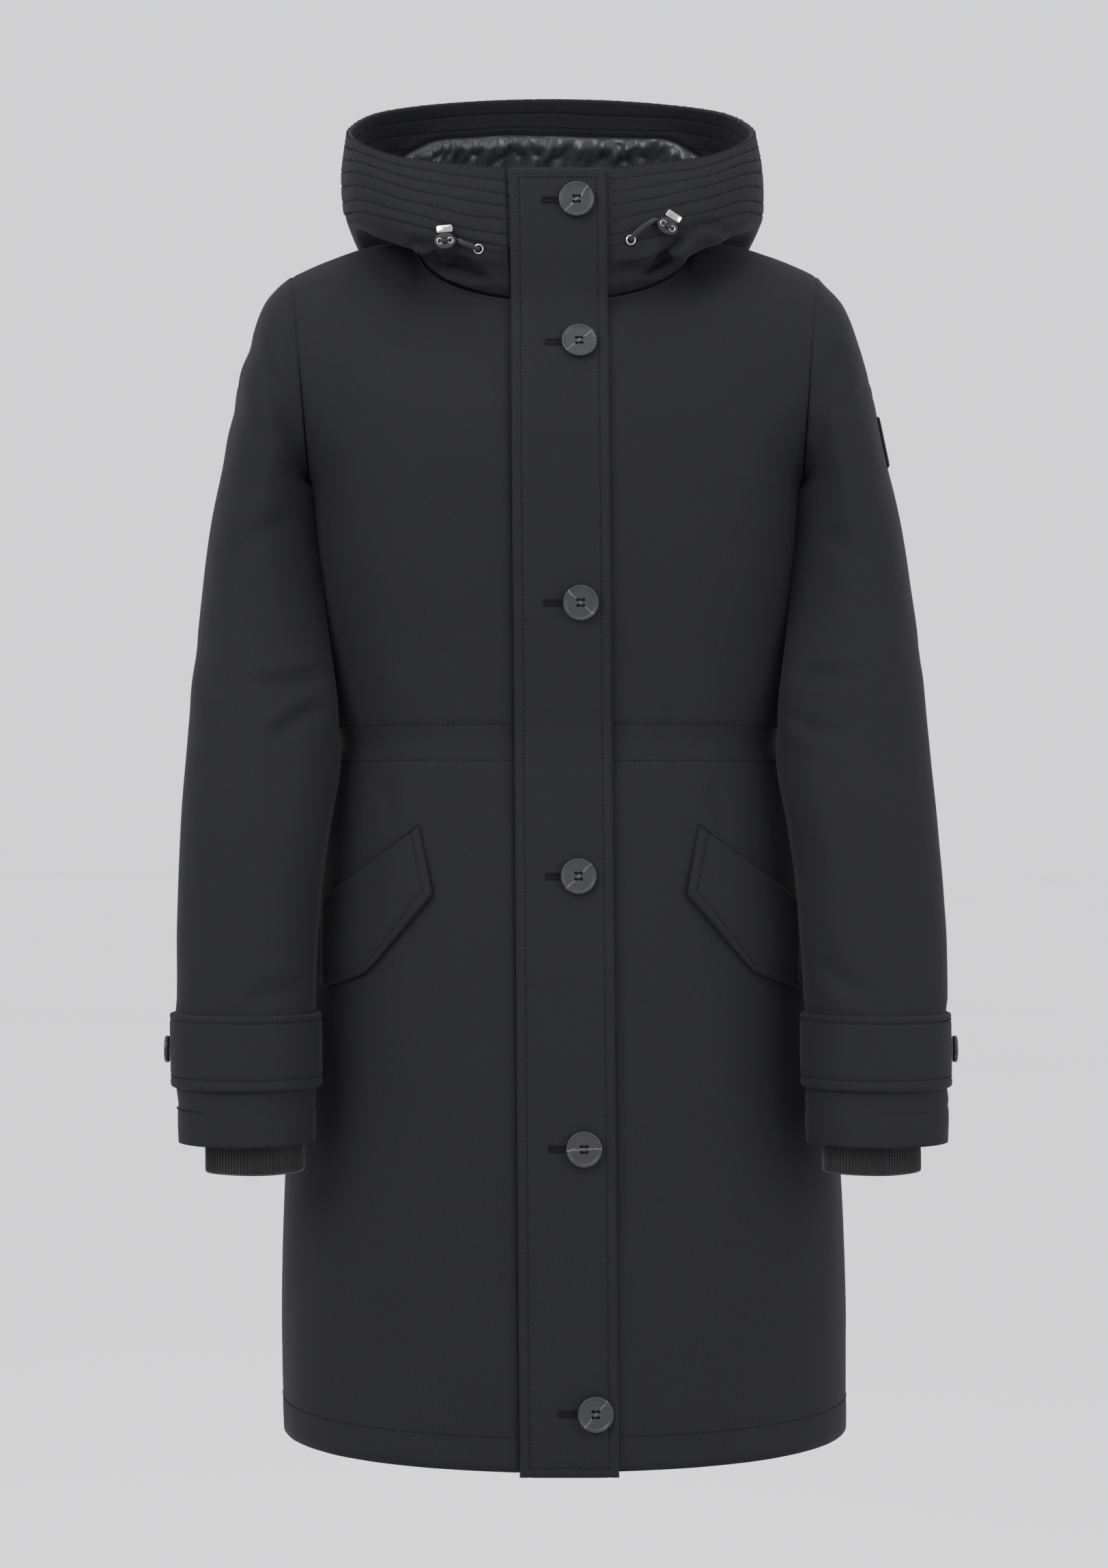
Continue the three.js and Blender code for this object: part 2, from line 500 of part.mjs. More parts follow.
// The placket lies on the left front and on the hood above it
const fronts = [left_rows, right_rows];
const placket_heights = [
  -880, -835, -760, -680, -600, -530, -465, -420, -396, -387, -374, -361, -352, -300, -245, -185,
  -168, -152, -136, -120, -104, -88, -72, -60, -52, -40, -28, -16, -4, 8, 20, 30, 36,
];
const PLACKET_FRACTIONS = [0, 0.2, 0.5, 0.8, 1];
const FEEL = 6;                 // the placket bridges hollows narrower than twice this
function frontmost(x, z) {
  const near = [];
  for (const dx of [-FEEL, 0, FEEL]) {
    for (const dz of [-FEEL, 0, FEEL]) {
      const hit = onSurface([left_rows, hood_quilted], Math.max(x + dx, UNDERLAP + lean(z) + 1), z + dz);
      if (hit && hit.point.y < 0) near.push(hit.point.y);
    }
  }
  return Math.min(...near);
}
const placket_base = placket_heights.map((z) => PLACKET_FRACTIONS.map((f) => {
  const x = lerp(PLACKET.left, PLACKET.right, f) + lean(z);
  return new THREE.Vector3(x, frontmost(x, z), z);
}));
placket_base[0].forEach((p) => { p.z -= HEM_FRONT_DROP + PLACKET.hang; });
const forward = (rows, distance) => rows.map((row) => row.map((p) => p.clone().add(new THREE.Vector3(0, -distance, 0))));
const PLACKET_LIFT = 0.9;
const placket_under = forward(placket_base, PLACKET_LIFT);
const placket_over = forward(placket_base, PLACKET_LIFT + PLACKET.thick);
addPiece('placket', wall(placket_over, placket_under, false), COLOURS.shell);

// Round pieces turned from a profile that starts and ends on the axis
function discProfile({ radius, thick, rim, lip }) {
  return [
    [0, 0], [radius - 0.8, 0], [radius, thick * 0.55], [radius - 0.5, thick],
    [radius - rim, thick], [radius - rim - 0.7, thick - lip], [0, thick - lip],
  ].map(([r, h]) => new THREE.Vector2(r, h));
}
const closedGeometry = (geometry) => {
  geometry.deleteAttribute('uv');
  geometry.deleteAttribute('normal');
  return mergeVertices(geometry, 1e-4);
};
function placed(geometry, point, normal) {
  const turn = new THREE.Quaternion().setFromUnitVectors(new THREE.Vector3(0, 1, 0), normal);
  return closedGeometry(geometry).applyQuaternion(turn).translate(point.x, point.y, point.z);
}
BUTTONS.forEach(({ x, z }, k) => {
  const hit = onSurface([placket_over], x + lean(z), z);
  const seat = hit.point.clone().addScaledVector(hit.normal, LAY_GAP);
  const disc = new THREE.LatheGeometry(discProfile(BUTTON), 14);
  addPiece(`button_${k + 1}`, placed(disc, seat, hit.normal), COLOURS.button, 0.45);
});

// Pocket flaps: rows from the seam down to the free edge, standing off a little more below
const FLAP_COLUMNS = 6;
const FLAP_ROWS = 4;
function flapRows(side, distance) {
  const rows = [];
  for (let r = 0; r <= FLAP_ROWS; r += 1) {
    const v = 1 - r / FLAP_ROWS;
    const row = [];
    for (let c = 0; c <= FLAP_COLUMNS; c += 1) {
      const u = c / FLAP_COLUMNS;
      const top = [0, 1].map((i) => lerp(FLAP.top_inner[i], FLAP.top_outer[i], u));
      const low = [0, 1].map((i) => (u < 0.5
        ? lerp(FLAP.low_inner[i], FLAP.point[i], 2 * u) : lerp(FLAP.point[i], FLAP.low_outer[i], 2 * u - 1)));
      const x = side * lerp(top[0], low[0], v);
      const z = lerp(top[1], low[1], v);
      const hit = onSurface(fronts, x + lean(z), z);
      const stand = FLAP.seat + FLAP.lift * v * (1 - FLAP.taper * u) + distance;
      row.push(hit.point.clone().addScaledVector(hit.normal, stand));
    }
    rows.push(side > 0 ? row : row.reverse());
  }
  return rows;
}
addPiece('pocket_flap_left', wall(flapRows(1, FLAP.thick), flapRows(1, 0), false), COLOURS.shell);
addPiece('pocket_flap_right', wall(flapRows(-1, FLAP.thick), flapRows(-1, 0), false), COLOURS.shell);

// Rings round a sleeve at given heights, moved out from its wall
function sleevePlaceAt(z) {
  const k = SLEEVE.findIndex((row) => row.z_outer <= z);
  return k - 1 + (SLEEVE[k - 1].z_outer - z) / (SLEEVE[k - 1].z_outer - SLEEVE[k].z_outer);
}
const STRAP_COLUMNS = 32;
function strapRows(side, out) {
  return [STRAP.top, (STRAP.top + STRAP.bottom) / 2, STRAP.bottom].map((z) => {
    const place = sleevePlaceAt(z);
    const middle = sleevePoint(side, place, 0).add(sleevePoint(side, place, 0.5)).multiplyScalar(0.5);
    const ring = [];
    for (let k = 0; k < STRAP_COLUMNS; k += 1) {
      const p = sleevePoint(side, place, k / STRAP_COLUMNS);
      const away = new THREE.Vector3(p.x - middle.x, p.y - middle.y, 0).setLength(out);
      ring.push(p.add(away));
    }
    return side < 0 ? ring.reverse() : ring;
  });
}
const sides = [['left', 1], ['right', -1]];
for (const [name, side] of sides) {
  addPiece(`cuff_strap_${name}`, wall(strapRows(side, STRAP.gap + STRAP.thick), strapRows(side, STRAP.gap), true), COLOURS.shell);
}

// Knitted cuffs: a ribbed tube that flares at the top to meet the sleeve from inside
function ribRows(side, layer) {
  const count = 2 * RIB.count;
  const hem = sleevePoint(side, SLEEVE.length - 1, 0).add(sleevePoint(side, SLEEVE.length - 1, 0.5)).multiplyScalar(0.5);
  const ring = (z, flare) => {
    const place = sleevePlaceAt(Math.max(z, SLEEVE.at(-1).z_outer));
    const middle = sleevePoint(side, place, 0).add(sleevePoint(side, place, 0.5)).multiplyScalar(0.5);
    const points = [];
    for (let k = 0; k < count; k += 1) {
      const angle = (2 * Math.PI * k) / count;
      const raised = layer === 'outer' && k % 2 === 0 ? RIB.rise * (1 - flare) : 0;
      const inward = layer === 'inner' ? RIB.thick : 0;
      const tube = { x: RIB.half_width + raised - inward, y: RIB.half_depth + raised - inward };
      const wide = sleevePoint(side, place, k / count);
      const reach = new THREE.Vector3(wide.x - middle.x, wide.y - middle.y, 0);
      reach.setLength(reach.length() - CLOTH - RIB.clear - inward);
      const x = lerp(hem.x - side * RIB.inset + side * tube.x * Math.cos(angle), middle.x + reach.x, flare);
      const y = lerp(hem.y - tube.y * Math.sin(angle), middle.y + reach.y, flare);
      points.push(new THREE.Vector3(x, y, z));
    }
    return side < 0 ? points.reverse() : points;
  };
  return [ring(RIB.top, 1), ring(RIB.top - RIB.seam, 1), ring(RIB.top - RIB.flare, 0), ring(RIB.bottom, 0)];
}
for (const [name, side] of sides) {
  addPiece(`rib_cuff_${name}`, wall(ribRows(side, 'outer'), ribRows(side, 'inner'), true), COLOURS.knit, 0.95);
}

// Cuff buttons on the outer side of the straps
for (const [name, side] of sides) {
  const place = sleevePlaceAt((STRAP.top + STRAP.bottom) / 2);
  const seat = sleevePoint(side, place, 0);
  seat.x += side * (STRAP.gap + STRAP.thick + LAY_GAP);
  const disc = new THREE.LatheGeometry(discProfile(CUFF_BUTTON), 12);
  addPiece(`cuff_button_${name}`, placed(disc, seat, new THREE.Vector3(side, 0, 0)), COLOURS.button, 0.45);
}

// A bare patch lies on the outer side of the wearer's left sleeve
const PATCH_STEPS = 4;
function patchRows(out) {
  const rows = [];
  for (let r = 0; r <= PATCH_STEPS; r += 1) {
    const row = [];
    for (let c = 0; c <= PATCH_STEPS; c += 1) {
      const z = PATCH.middle + PATCH.high * (0.5 - r / PATCH_STEPS);
      const place = sleevePlaceAt(z);
      const turn = (PATCH.wide * (c / PATCH_STEPS - 0.5)) / PATCH.girth;
      const p = sleevePoint(1, place, turn);
      const q = sleevePoint(1, place + 0.1, turn);
      const side_step = sleevePoint(1, place, turn + 0.01);
      const normal = side_step.sub(p).cross(q.sub(p)).normalize();
      row.push(p.clone().addScaledVector(normal, out));
    }
    rows.push(row);
  }
  return rows;
}
addPiece('sleeve_patch', wall(patchRows(LAY_GAP + PATCH.thick), patchRows(LAY_GAP), false), COLOURS.shell);

// Drawcord ends: eyelet, cord, oval lock and its bright plate
function cordEnd(name, route) {
  const hood_grid = [hood_quilted];
  const along = route.map(([x, z, stand]) => {
    const hit = onSurface(hood_grid, x, z);
    return hit.point.clone().addScaledVector(hit.normal, stand + CORD_RADIUS);
  });
  const eye = onSurface(hood_grid, route[0][0], route[0][1]);
  const ring = new THREE.TorusGeometry(EYELET.radius, EYELET.wire, 6, 14);
  ring.rotateX(Math.PI / 2);
  const seat = eye.point.clone().addScaledVector(eye.normal, EYELET.wire + EYELET.stand);
  addPiece(`eyelet_${name}`, placed(ring, seat, eye.normal), COLOURS.steel, 0.25, 1);
  const path = new THREE.CatmullRomCurve3(along);
  const section = new THREE.Shape();
  for (let k = 0; k < 8; k += 1) {
    const angle = (k * Math.PI) / 4;
    const [x, y] = [CORD_RADIUS * Math.cos(angle), CORD_RADIUS * Math.sin(angle)];
    if (k === 0) section.moveTo(x, y);
    else section.lineTo(x, y);
  }
  const cord = new THREE.ExtrudeGeometry(section, { steps: CORD_STEPS, extrudePath: path, bevelEnabled: false });
  addPiece(`cord_${name}`, closedGeometry(cord), COLOURS.cord, 0.8);
  return { end: along.at(-1), normal: eye.normal };
}

// The lock lies in front of the hood with its long side along 'tilt' degrees from level
function cordLock(name, { x, z, tilt }, stand) {
  const hit = onSurface([hood_quilted], x, z);
  const disc = new THREE.CylinderGeometry(1, 0.92, LOCK.thick, 20);
  disc.scale(LOCK.half_long, 1, LOCK.half_short);
  const plate = new THREE.BoxGeometry(PLATE.long, PLATE.thick, PLATE.high);
  const angle = THREE.MathUtils.degToRad(tilt);
  const long_way = new THREE.Vector3(Math.cos(angle), 0, Math.sin(angle)).projectOnPlane(hit.normal).normalize();
  const whole = new THREE.Matrix4().makeBasis(long_way, hit.normal, long_way.clone().cross(hit.normal));
  whole.setPosition(hit.point.clone().addScaledVector(hit.normal, stand + LOCK.thick / 2));
  addPiece(`cord_lock_${name}`, closedGeometry(disc).applyMatrix4(whole), COLOURS.cord, 0.35);
  plate.translate(0, PLATE.forward, -(LOCK.half_short + PLATE.high / 2 + SEAM_GAP));
  addPiece(`lock_plate_${name}`, closedGeometry(plate).applyMatrix4(whole), COLOURS.steel, 0.25, 1);
}
cordEnd('right', CORD_RIGHT);
cordEnd('left', CORD_LEFT);
cordLock('right', LOCK_RIGHT, LOCK_STAND);
cordLock('left', LOCK_LEFT, LOCK_STAND);

export default parka;
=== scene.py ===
# %% [markdown]
# A hooded parka in its worn shape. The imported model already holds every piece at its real
# size and place. This lesson dresses those pieces: each soft one is rebuilt as a finer wall
# of cloth with its quilting, gathers and creases, and every surface gets its own finish.

# %% Frame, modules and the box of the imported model
import json
import math
import bmesh
import bpy
import numpy as np
from mathutils.bvhtree import BVHTree
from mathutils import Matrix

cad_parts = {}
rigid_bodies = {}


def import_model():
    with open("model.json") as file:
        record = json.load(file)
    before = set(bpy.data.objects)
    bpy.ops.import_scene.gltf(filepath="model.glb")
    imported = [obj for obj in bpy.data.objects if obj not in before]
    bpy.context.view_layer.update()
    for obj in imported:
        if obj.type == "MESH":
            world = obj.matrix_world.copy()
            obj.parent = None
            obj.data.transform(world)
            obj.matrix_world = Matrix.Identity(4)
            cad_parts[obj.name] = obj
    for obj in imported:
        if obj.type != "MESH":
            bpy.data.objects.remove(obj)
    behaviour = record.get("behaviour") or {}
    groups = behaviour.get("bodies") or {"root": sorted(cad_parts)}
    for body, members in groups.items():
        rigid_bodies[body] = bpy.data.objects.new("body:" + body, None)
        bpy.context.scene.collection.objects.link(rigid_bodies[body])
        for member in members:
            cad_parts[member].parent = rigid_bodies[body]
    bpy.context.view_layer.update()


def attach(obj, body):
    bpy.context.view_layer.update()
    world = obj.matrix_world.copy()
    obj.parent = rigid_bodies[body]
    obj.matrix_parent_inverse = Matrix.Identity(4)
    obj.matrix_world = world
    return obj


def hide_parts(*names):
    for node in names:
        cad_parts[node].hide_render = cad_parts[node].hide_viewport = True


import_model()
MM = 0.001  # the tables below are in millimetres, Blender works in metres

# %% [markdown]
# The picture was taken from the front at hip height, about 2.3 m away, with the frame a
# little over 1.1 m high at the coat. A portrait sensor of 36 mm then asks for a lens of
# about 71 mm. The camera looks straight along +Y, so upright lines stay upright.

# %% Camera
CAMERA_DISTANCE = 2.3
CAMERA_HEIGHT = -0.404
SEEN_HEIGHT = 1.171
SENSOR = 36.0

camera_data = bpy.data.cameras.new("camera")
camera_data.sensor_fit = "VERTICAL"
camera_data.sensor_height = SENSOR
camera_data.lens = SENSOR * CAMERA_DISTANCE / SEEN_HEIGHT
camera = bpy.data.objects.new("camera", camera_data)
camera.location = (0.0, -CAMERA_DISTANCE, CAMERA_HEIGHT)
camera.rotation_euler = (math.radians(90), 0, 0)
bpy.context.scene.collection.objects.link(camera)
bpy.context.scene.camera = camera
print("lens:", round(camera_data.lens, 1), "mm")

# %% [markdown]
# The cut of the coat is a short set of tables: sections of the body, stations of the sleeve
# and rings of the hood, in millimetres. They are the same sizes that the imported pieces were
# made from, so each finer wall lands on the piece that it stands for. Heights are counted
# from the shoulder's neck end, and the wearer's left is on the positive side.

# %% Cut of the coat
CLOTH, HOOD_CLOTH = 3.0, 2.5
NECK_HALF_WIDTH, NECK_FRONT, NECK_BACK = 103, 92, 74
NECK_SIDE_HEIGHT, NECK_BACK_HEIGHT, NECK_FRONT_DROP = 3, 8, 61
SHOULDER_TIP = (196, -26)
SHOULDER_CURVE = 1.8
UNDERARM_HEIGHT = -185
HEM_FRONT_DROP, HEM_STITCH, SLEEVE_HEM_STITCH = 5, 26, 27
SECTION_POWER = 2.25
PLACKET_LEFT, PLACKET_RIGHT, PLACKET_THICK = -31.4, 38, 3.2
PLACKET_BOTTOM, PLACKET_TOP = -888, 36
TOPSTITCH = 7.0
UNDERLAP = -28
WAIST_TOP, WAIST_BOTTOM = -361, -387
BAND_CHANNELS, BAND_START, RIM = 6, 5, 7

# height, half width, depth to the front, depth to the back
BODY = np.array([
    [-880, 209, 150, 146], [-800, 210, 149, 145], [-700, 207, 147, 142], [-600, 201, 143, 138],
    [-500, 191, 136, 131], [-430, 179, 127, 121], [-389, 169, 118, 108], [-374, 165, 115, 104],
    [-358, 168, 116, 106], [-300, 172, 121, 111], [-245, 178, 125, 117], [-185, 184, 127, 121],
], dtype=float)

# outer x, inner x, outer height, inner height, middle y, half depth
SLEEVE = np.array([
    [196, 184, -26, -185, 2, 74], [214, 184.5, -46, -189, 2, 76], [226, 184.7, -78, -194, 2, 77],
    [236, 183.9, -117, -204, 1, 76], [246, 182.2, -165, -222, 0, 74], [256, 179.8, -212, -244, -5, 71],
    [262.5, 175.4, -262, -278, -16, 66], [267, 166.6, -328, -331, -44, 60],
    [269.5, 158, -385, -385, -64, 57], [272, 164.5, -436, -436, -84, 54],
    [274, 171, -494, -494, -97, 51], [274, 174, -551, -551, -106, 49],
    [273.5, 174, -610, -610, -112, 47], [273, 174, -657, -657, -116, 46],
], dtype=float)

HOOD_ANGLES = np.array([17, 45, 70, 90, 120, 150, 180], dtype=float)
# one row for each ring above the neck, a point for each key angle
HOOD = np.array([
    [[31, -95, -48], [75, -73, -34], [100, -37, -11], [112, 2, 6.5], [98, 48, 5],
     [58, 80, 0], [0, 92, -5]],
    [[31, -97, -40], [78, -74, -25], [110, -41, -5], [129, 2, 5.5], [114, 66, -8],
     [70, 108, -50], [0, 122, -70]],
    [[31.3, -99, -31], [86, -90, -25], [124, -55, -7], [146, 2, 5.5], [130, 92, -32],
     [84, 140, -112], [0, 146, -148]],
    [[31.4, -100.5, -26], [91, -93, -15], [133, -58, 2], [153, 2, 13], [145, 96, 10],
     [96, 160, -40], [0, 174, -55]],
    [[31.5, -102, -21], [95, -92, -5], [137, -57, 12], [156, 2, 22], [141, 80, 50],
     [84, 120, 66], [0, 136, 70]],
    [[31.5, -103, 8], [102, -84, 24], [142, -49, 42], [156, 3, 54], [138, 67, 80],
     [80, 105, 97], [0, 121, 101]],
    [[31.5, -97, 37], [107, -70, 50], [142, -35, 69], [151, 4, 86], [131, 52, 109],
     [76, 91, 125], [0, 105, 131]],
], dtype=float)

BUTTONS = [(16.4, 12), (17.1, -90), (16.5, -276), (13.3, -469), (15.4, -659), (21.8, -843)]
FLAP = {"top_inner": (99, -434), "top_outer": (171, -487), "low_inner": (89, -482),
        "point": (137, -539), "low_outer": (171, -551), "thick": 3.0, "lift": 1.8}
STRAP_TOP, STRAP_BOTTOM, STRAP_GAP, STRAP_THICK = -566, -617, 0.6, 3.4
STRAP_TOP_STITCH, STRAP_LOW_STITCH = 4.4, 6.8
PATCH_HIGH, PATCH_WIDE, PATCH_THICK, PATCH_MIDDLE = 37, 46, 1.5, -150
RIB_HALF_WIDTH, RIB_HALF_DEPTH, RIB_BOTTOM, RIB_TOP, RIB_THICK = 34, 32, -678, -604, 2.2
print("coat:", -BODY[0, 0], "mm below the shoulder,", len(BUTTONS), "front buttons")

# %% [markdown]
# A few small helpers: smooth reading of a table, the slight sideways lean of the coat, and
# soft seeded noise. Cloth is never even, so most creases and puckers are driven by them.

# %% Helpers for tables and noise
def lean(z):
    """Sideways shift at a height: the coat hangs a few millimetres out of plumb."""
    z = np.asarray(z, dtype=float)
    return np.where(z < 0, -z * 0.0085, -z * 0.03)


def smooth_step(t):
    """Runs softly from 0 to 1 as t does."""
    t = np.clip(t, 0, 1)
    return t * t * (3 - 2 * t)


def through_four(a, b, c, d, t):
    """A point between b and c on a smooth curve that also heeds a and d."""
    return 0.5 * (2 * b + (c - a) * t + (2 * a - 5 * b + 4 * c - d) * t**2
                  + (3 * b - a - 3 * c + d) * t**3)


def body_value(column, z):
    """A body size at a height, on a smooth curve through the table."""
    heights, values = BODY[:, 0], BODY[:, column]
    slopes = np.gradient(values, heights)
    z = float(np.clip(z, heights[0], heights[-1]))
    k = min(len(heights) - 2, max(0, int(np.searchsorted(heights, z) - 1)))
    width = heights[k + 1] - heights[k]
    t = (z - heights[k]) / width
    return ((2 * t**3 - 3 * t**2 + 1) * values[k] + (t**3 - 2 * t**2 + t) * width * slopes[k]
            + (3 * t**2 - 2 * t**3) * values[k + 1] + (t**3 - t**2) * width * slopes[k + 1])


def sleeve_value(column, place):
    """A sleeve size at a place that counts stations from the armhole."""
    rows = len(SLEEVE)
    k = np.clip(np.floor(place).astype(int), 0, rows - 2)
    pick = [SLEEVE[np.clip(k + i, 0, rows - 1), column] for i in (-1, 0, 1, 2)]
    return through_four(*pick, place - k)


def soft_noise(points, size, seed):
    """Smooth noise from -1 to 1 at (n, 3) points in mm, with bumps about size mm wide."""
    table = np.random.RandomState(seed).uniform(-1, 1, 4096)
    q = np.asarray(points, dtype=float) / size
    cell = np.floor(q).astype(int)
    f = smooth_step(q - cell)
    total = 0
    for corner in np.ndindex(2, 2, 2):
        c = cell + np.array(corner)
        value = table[(c[..., 0] * 73 + c[..., 1] * 179 + c[..., 2] * 283) % 4096]
        weight = np.prod(np.where(np.array(corner) == 1, f, 1 - f), axis=-1)
        total = total + value * weight
    return total


def uneven(s, length, seed):
    """An uneven wave along s mm, from -1 to 1, with crests about length mm apart."""
    random = np.random.RandomState(seed)
    total = 0
    for factor, weight in ((0.62, 0.5), (0.94, 0.8), (1.31, 0.6), (1.87, 0.3)):
        total = total + weight * np.sin(2 * np.pi * s * factor / length + random.uniform(0, 6.28))
    return total / 1.7


print("tables:", len(BODY), "body sections,", len(SLEEVE), "sleeve stations,", len(HOOD), "hood rings")

# %% [markdown]
# Each surface is a function from two numbers to a point. The sleeve's first ring is the
# armhole itself, the body rows end on that same ring, and the hood starts on the neck seam,
# so the pieces meet along their seams as the cut ones do.

# %% Surfaces of body, sleeve and hood
def sleeve_point(side, place, turn):
    """place counts stations from the armhole, turn 0 is the outside and 0.25 the front."""
    place, turn = np.broadcast_arrays(np.asarray(place, float), np.asarray(turn, float))
    angle = turn * 2 * np.pi
    outer, inner, z_out, z_in, y, depth = (sleeve_value(k, place) for k in range(6))
    across = (1 + np.cos(angle)) / 2
    dip = 5 * np.abs(np.sin(angle)) * np.clip(1 - place, 0, 1)
    x = inner + (outer - inner) * across - dip
    z = z_in + (z_out - z_in) * across
    return np.stack([side * x + lean(z), y - depth * np.sin(angle), z], axis=-1)


def neck_point(degrees):
    """The neck seam: 0 is the middle of the front, 180 the middle of the back."""
    angle = np.radians(np.abs(degrees))
    cos = np.cos(angle)
    side_on = 1 - np.abs(cos)
    y = np.where(cos > 0, -NECK_FRONT, NECK_BACK) * np.abs(cos) + 2 * side_on
    z = np.where(cos > 0, NECK_SIDE_HEIGHT - NECK_FRONT_DROP * np.abs(cos) ** 0.85,
                 NECK_SIDE_HEIGHT + (NECK_BACK_HEIGHT - NECK_SIDE_HEIGHT) * np.abs(cos))
    x = np.sign(degrees) * NECK_HALF_WIDTH * np.sin(angle)
    return np.stack([x, y, z], axis=-1)


def neck_start(inner):
    """Degrees round the neck seam at which x reaches inner."""
    return math.degrees(math.asin(inner / NECK_HALF_WIDTH))


def top_edge(facing, inner, u, neck_share):
    """The neckline up to u = neck_share, then the shoulder seam, without the lean."""
    start = neck_start(inner) if facing == "front" else 180.0
    on_neck = u <= neck_share
    neck = neck_point(start + (90 - start) * np.clip(u / neck_share, 0, 1))
    t = np.clip((u - neck_share) / (1 - neck_share), 0, 1)
    x = NECK_HALF_WIDTH + (SHOULDER_TIP[0] - NECK_HALF_WIDTH) * t
    z = NECK_SIDE_HEIGHT + (SHOULDER_TIP[1] - NECK_SIDE_HEIGHT) * t**SHOULDER_CURVE
    shoulder = np.stack([x, np.full_like(x, 2.0), z], axis=-1)
    return np.where(on_neck[:, None], neck, shoulder)


def section(half, depth, x0, turn_end, u, sign):
    """x and y of a rounded body section, from x0 at u = 0 to turn_end at u = 1."""
    start = math.copysign(math.asin(min(1, abs(x0) / half) ** (SECTION_POWER / 2)), x0)
    turn = start + (turn_end - start) * u
    power = 2 / SECTION_POWER
    x = half * np.sign(np.sin(turn)) * np.abs(np.sin(turn)) ** power
    return x, sign * depth * np.abs(np.cos(turn)) ** power


def body_grid(facing, side, inner, neck_share, heights, upper, u):
    """Rows of points of a front or half back, from the hem to the neckline and shoulder."""
    sign = -1 if facing == "front" else 1
    column = 2 if facing == "front" else 3
    rows = []
    for z in heights:
        half, depth = body_value(1, z), body_value(column, z)
        x, y = section(half, depth, inner, math.pi / 2, u, sign)
        drop = HEM_FRONT_DROP * smooth_step((-z - 700) / 180) * (1 - u) if facing == "front" else 0
        height = z - drop + 0 * u
        rows.append(np.stack([side * x + lean(height), y + 2 * np.abs(x / half) ** 4, height], -1))
    top = top_edge(facing, inner, u, neck_share)
    top_depth, top_height = abs(top[0, 1]), top[0, 2]
    end_x, end_y = section(SHOULDER_TIP[0], top_depth, inner, math.pi / 2, u, sign)
    plain_top = np.stack([end_x, end_y + 2 * u**4,
                          top_height + (SHOULDER_TIP[1] - top_height) * smooth_step(u)], -1)
    for v in upper:
        edge = sleeve_point(1, 0.0, 0.5 * (1 - v) if facing == "front" else 0.5 * (1 + v))
        depth = body_value(column, UNDERARM_HEIGHT) * (1 - v**1.7) + top_depth * v**1.7
        reach = min(0.98, max(0.0, sign * (edge[1] - 2)) / depth)
        half = (edge[0] - lean(edge[2])) / (1 - reach**SECTION_POWER) ** (1 / SECTION_POWER)
        x, y = section(half, depth, inner, math.acos(reach ** (SECTION_POWER / 2)), u, sign)
        inner_z = UNDERARM_HEIGHT + (top_height - UNDERARM_HEIGHT) * v
        z = inner_z + (edge[2] - inner_z) * smooth_step(u)
        plain = np.stack([x, y + 2 * u**4, z], -1) + (top - plain_top) * v**2.4
        rows.append(np.stack([side * plain[:, 0] + lean(plain[:, 2]), plain[:, 1], plain[:, 2]], -1))
    return np.array(rows)


def hood_ring(k, degrees):
    """Ring k of the hood's table at signed angles round the neck."""
    turn = np.abs(degrees)
    angles, ring = HOOD_ANGLES, HOOD[k]
    ahead = np.array([-0.1 * ring[1][0], ring[0][1], ring[0][2]])
    behind = ring[-2] * [-1, 1, 1]
    padded = np.vstack([ahead, ring, behind])
    i = np.clip(np.searchsorted(angles, turn, side="right") - 1, 0, len(angles) - 2)
    t = np.clip((turn - angles[i]) / (angles[i + 1] - angles[i]), 0, 1)[:, None]
    point = through_four(padded[i], padded[i + 1], padded[i + 2], padded[i + 3], t)
    ahead_x = ring[0][0] * degrees / angles[0]
    point[:, 0] = np.where(turn < angles[0], ahead_x, point[:, 0] * np.sign(degrees))
    return point


def hood_point(degrees, place):
    """place 0 is the neck seam, 5 the bottom of the quilted band, 7 the rim."""
    rings = len(HOOD)
    neck = neck_point(degrees)
    side_on = np.sin(np.radians(degrees)) ** 2
    neck[:, 1] -= 0.4 * np.cos(np.radians(degrees))
    neck[:, 2] += 0.9 + 1.9 * side_on
    k = min(rings - 1, max(0, int(place)))

    def ring(i):
        return neck if i <= 0 else hood_ring(min(rings, i) - 1, degrees)

    b, c = ring(k), ring(k + 1)
    a = 2 * b - c if k == 0 else ring(k - 1)
    d = 2 * c - b if k + 2 > rings else ring(k + 2)
    p = through_four(a, b, c, d, place - k)
    p[:, 0] += lean(p[:, 2])
    return p


print("outside of the left armhole:", sleeve_point(1, 0.0, 0.0).round(1))

# %% [markdown]
# A wall of cloth is two matching grids, the outside and the inside, closed along the rims.
# One helper builds it, gives it a UV map in metres along the cloth, and smooth shading.

# %% Walls of cloth
def grid_normals(grid, closed=False):
    """Outward unit normals of a grid whose rows go up and columns turn the outward way."""
    if closed:
        across = np.roll(grid, -1, axis=1) - np.roll(grid, 1, axis=1)
    else:
        across = np.gradient(grid, axis=1)
    up = np.gradient(grid, axis=0)
    normal = np.cross(across, up)
    return normal / np.maximum(np.linalg.norm(normal, axis=-1, keepdims=True), 1e-9)


def cloth_distances(grid):
    """Distances along the rows and the columns of a grid, in mm."""
    across = np.linalg.norm(np.diff(grid, axis=1), axis=-1)
    up = np.linalg.norm(np.diff(grid, axis=0), axis=-1)
    s = np.concatenate([np.zeros((grid.shape[0], 1)), np.cumsum(across, axis=1)], axis=1)
    t = np.concatenate([np.zeros((1, grid.shape[1])), np.cumsum(up, axis=0)], axis=0)
    return s, t


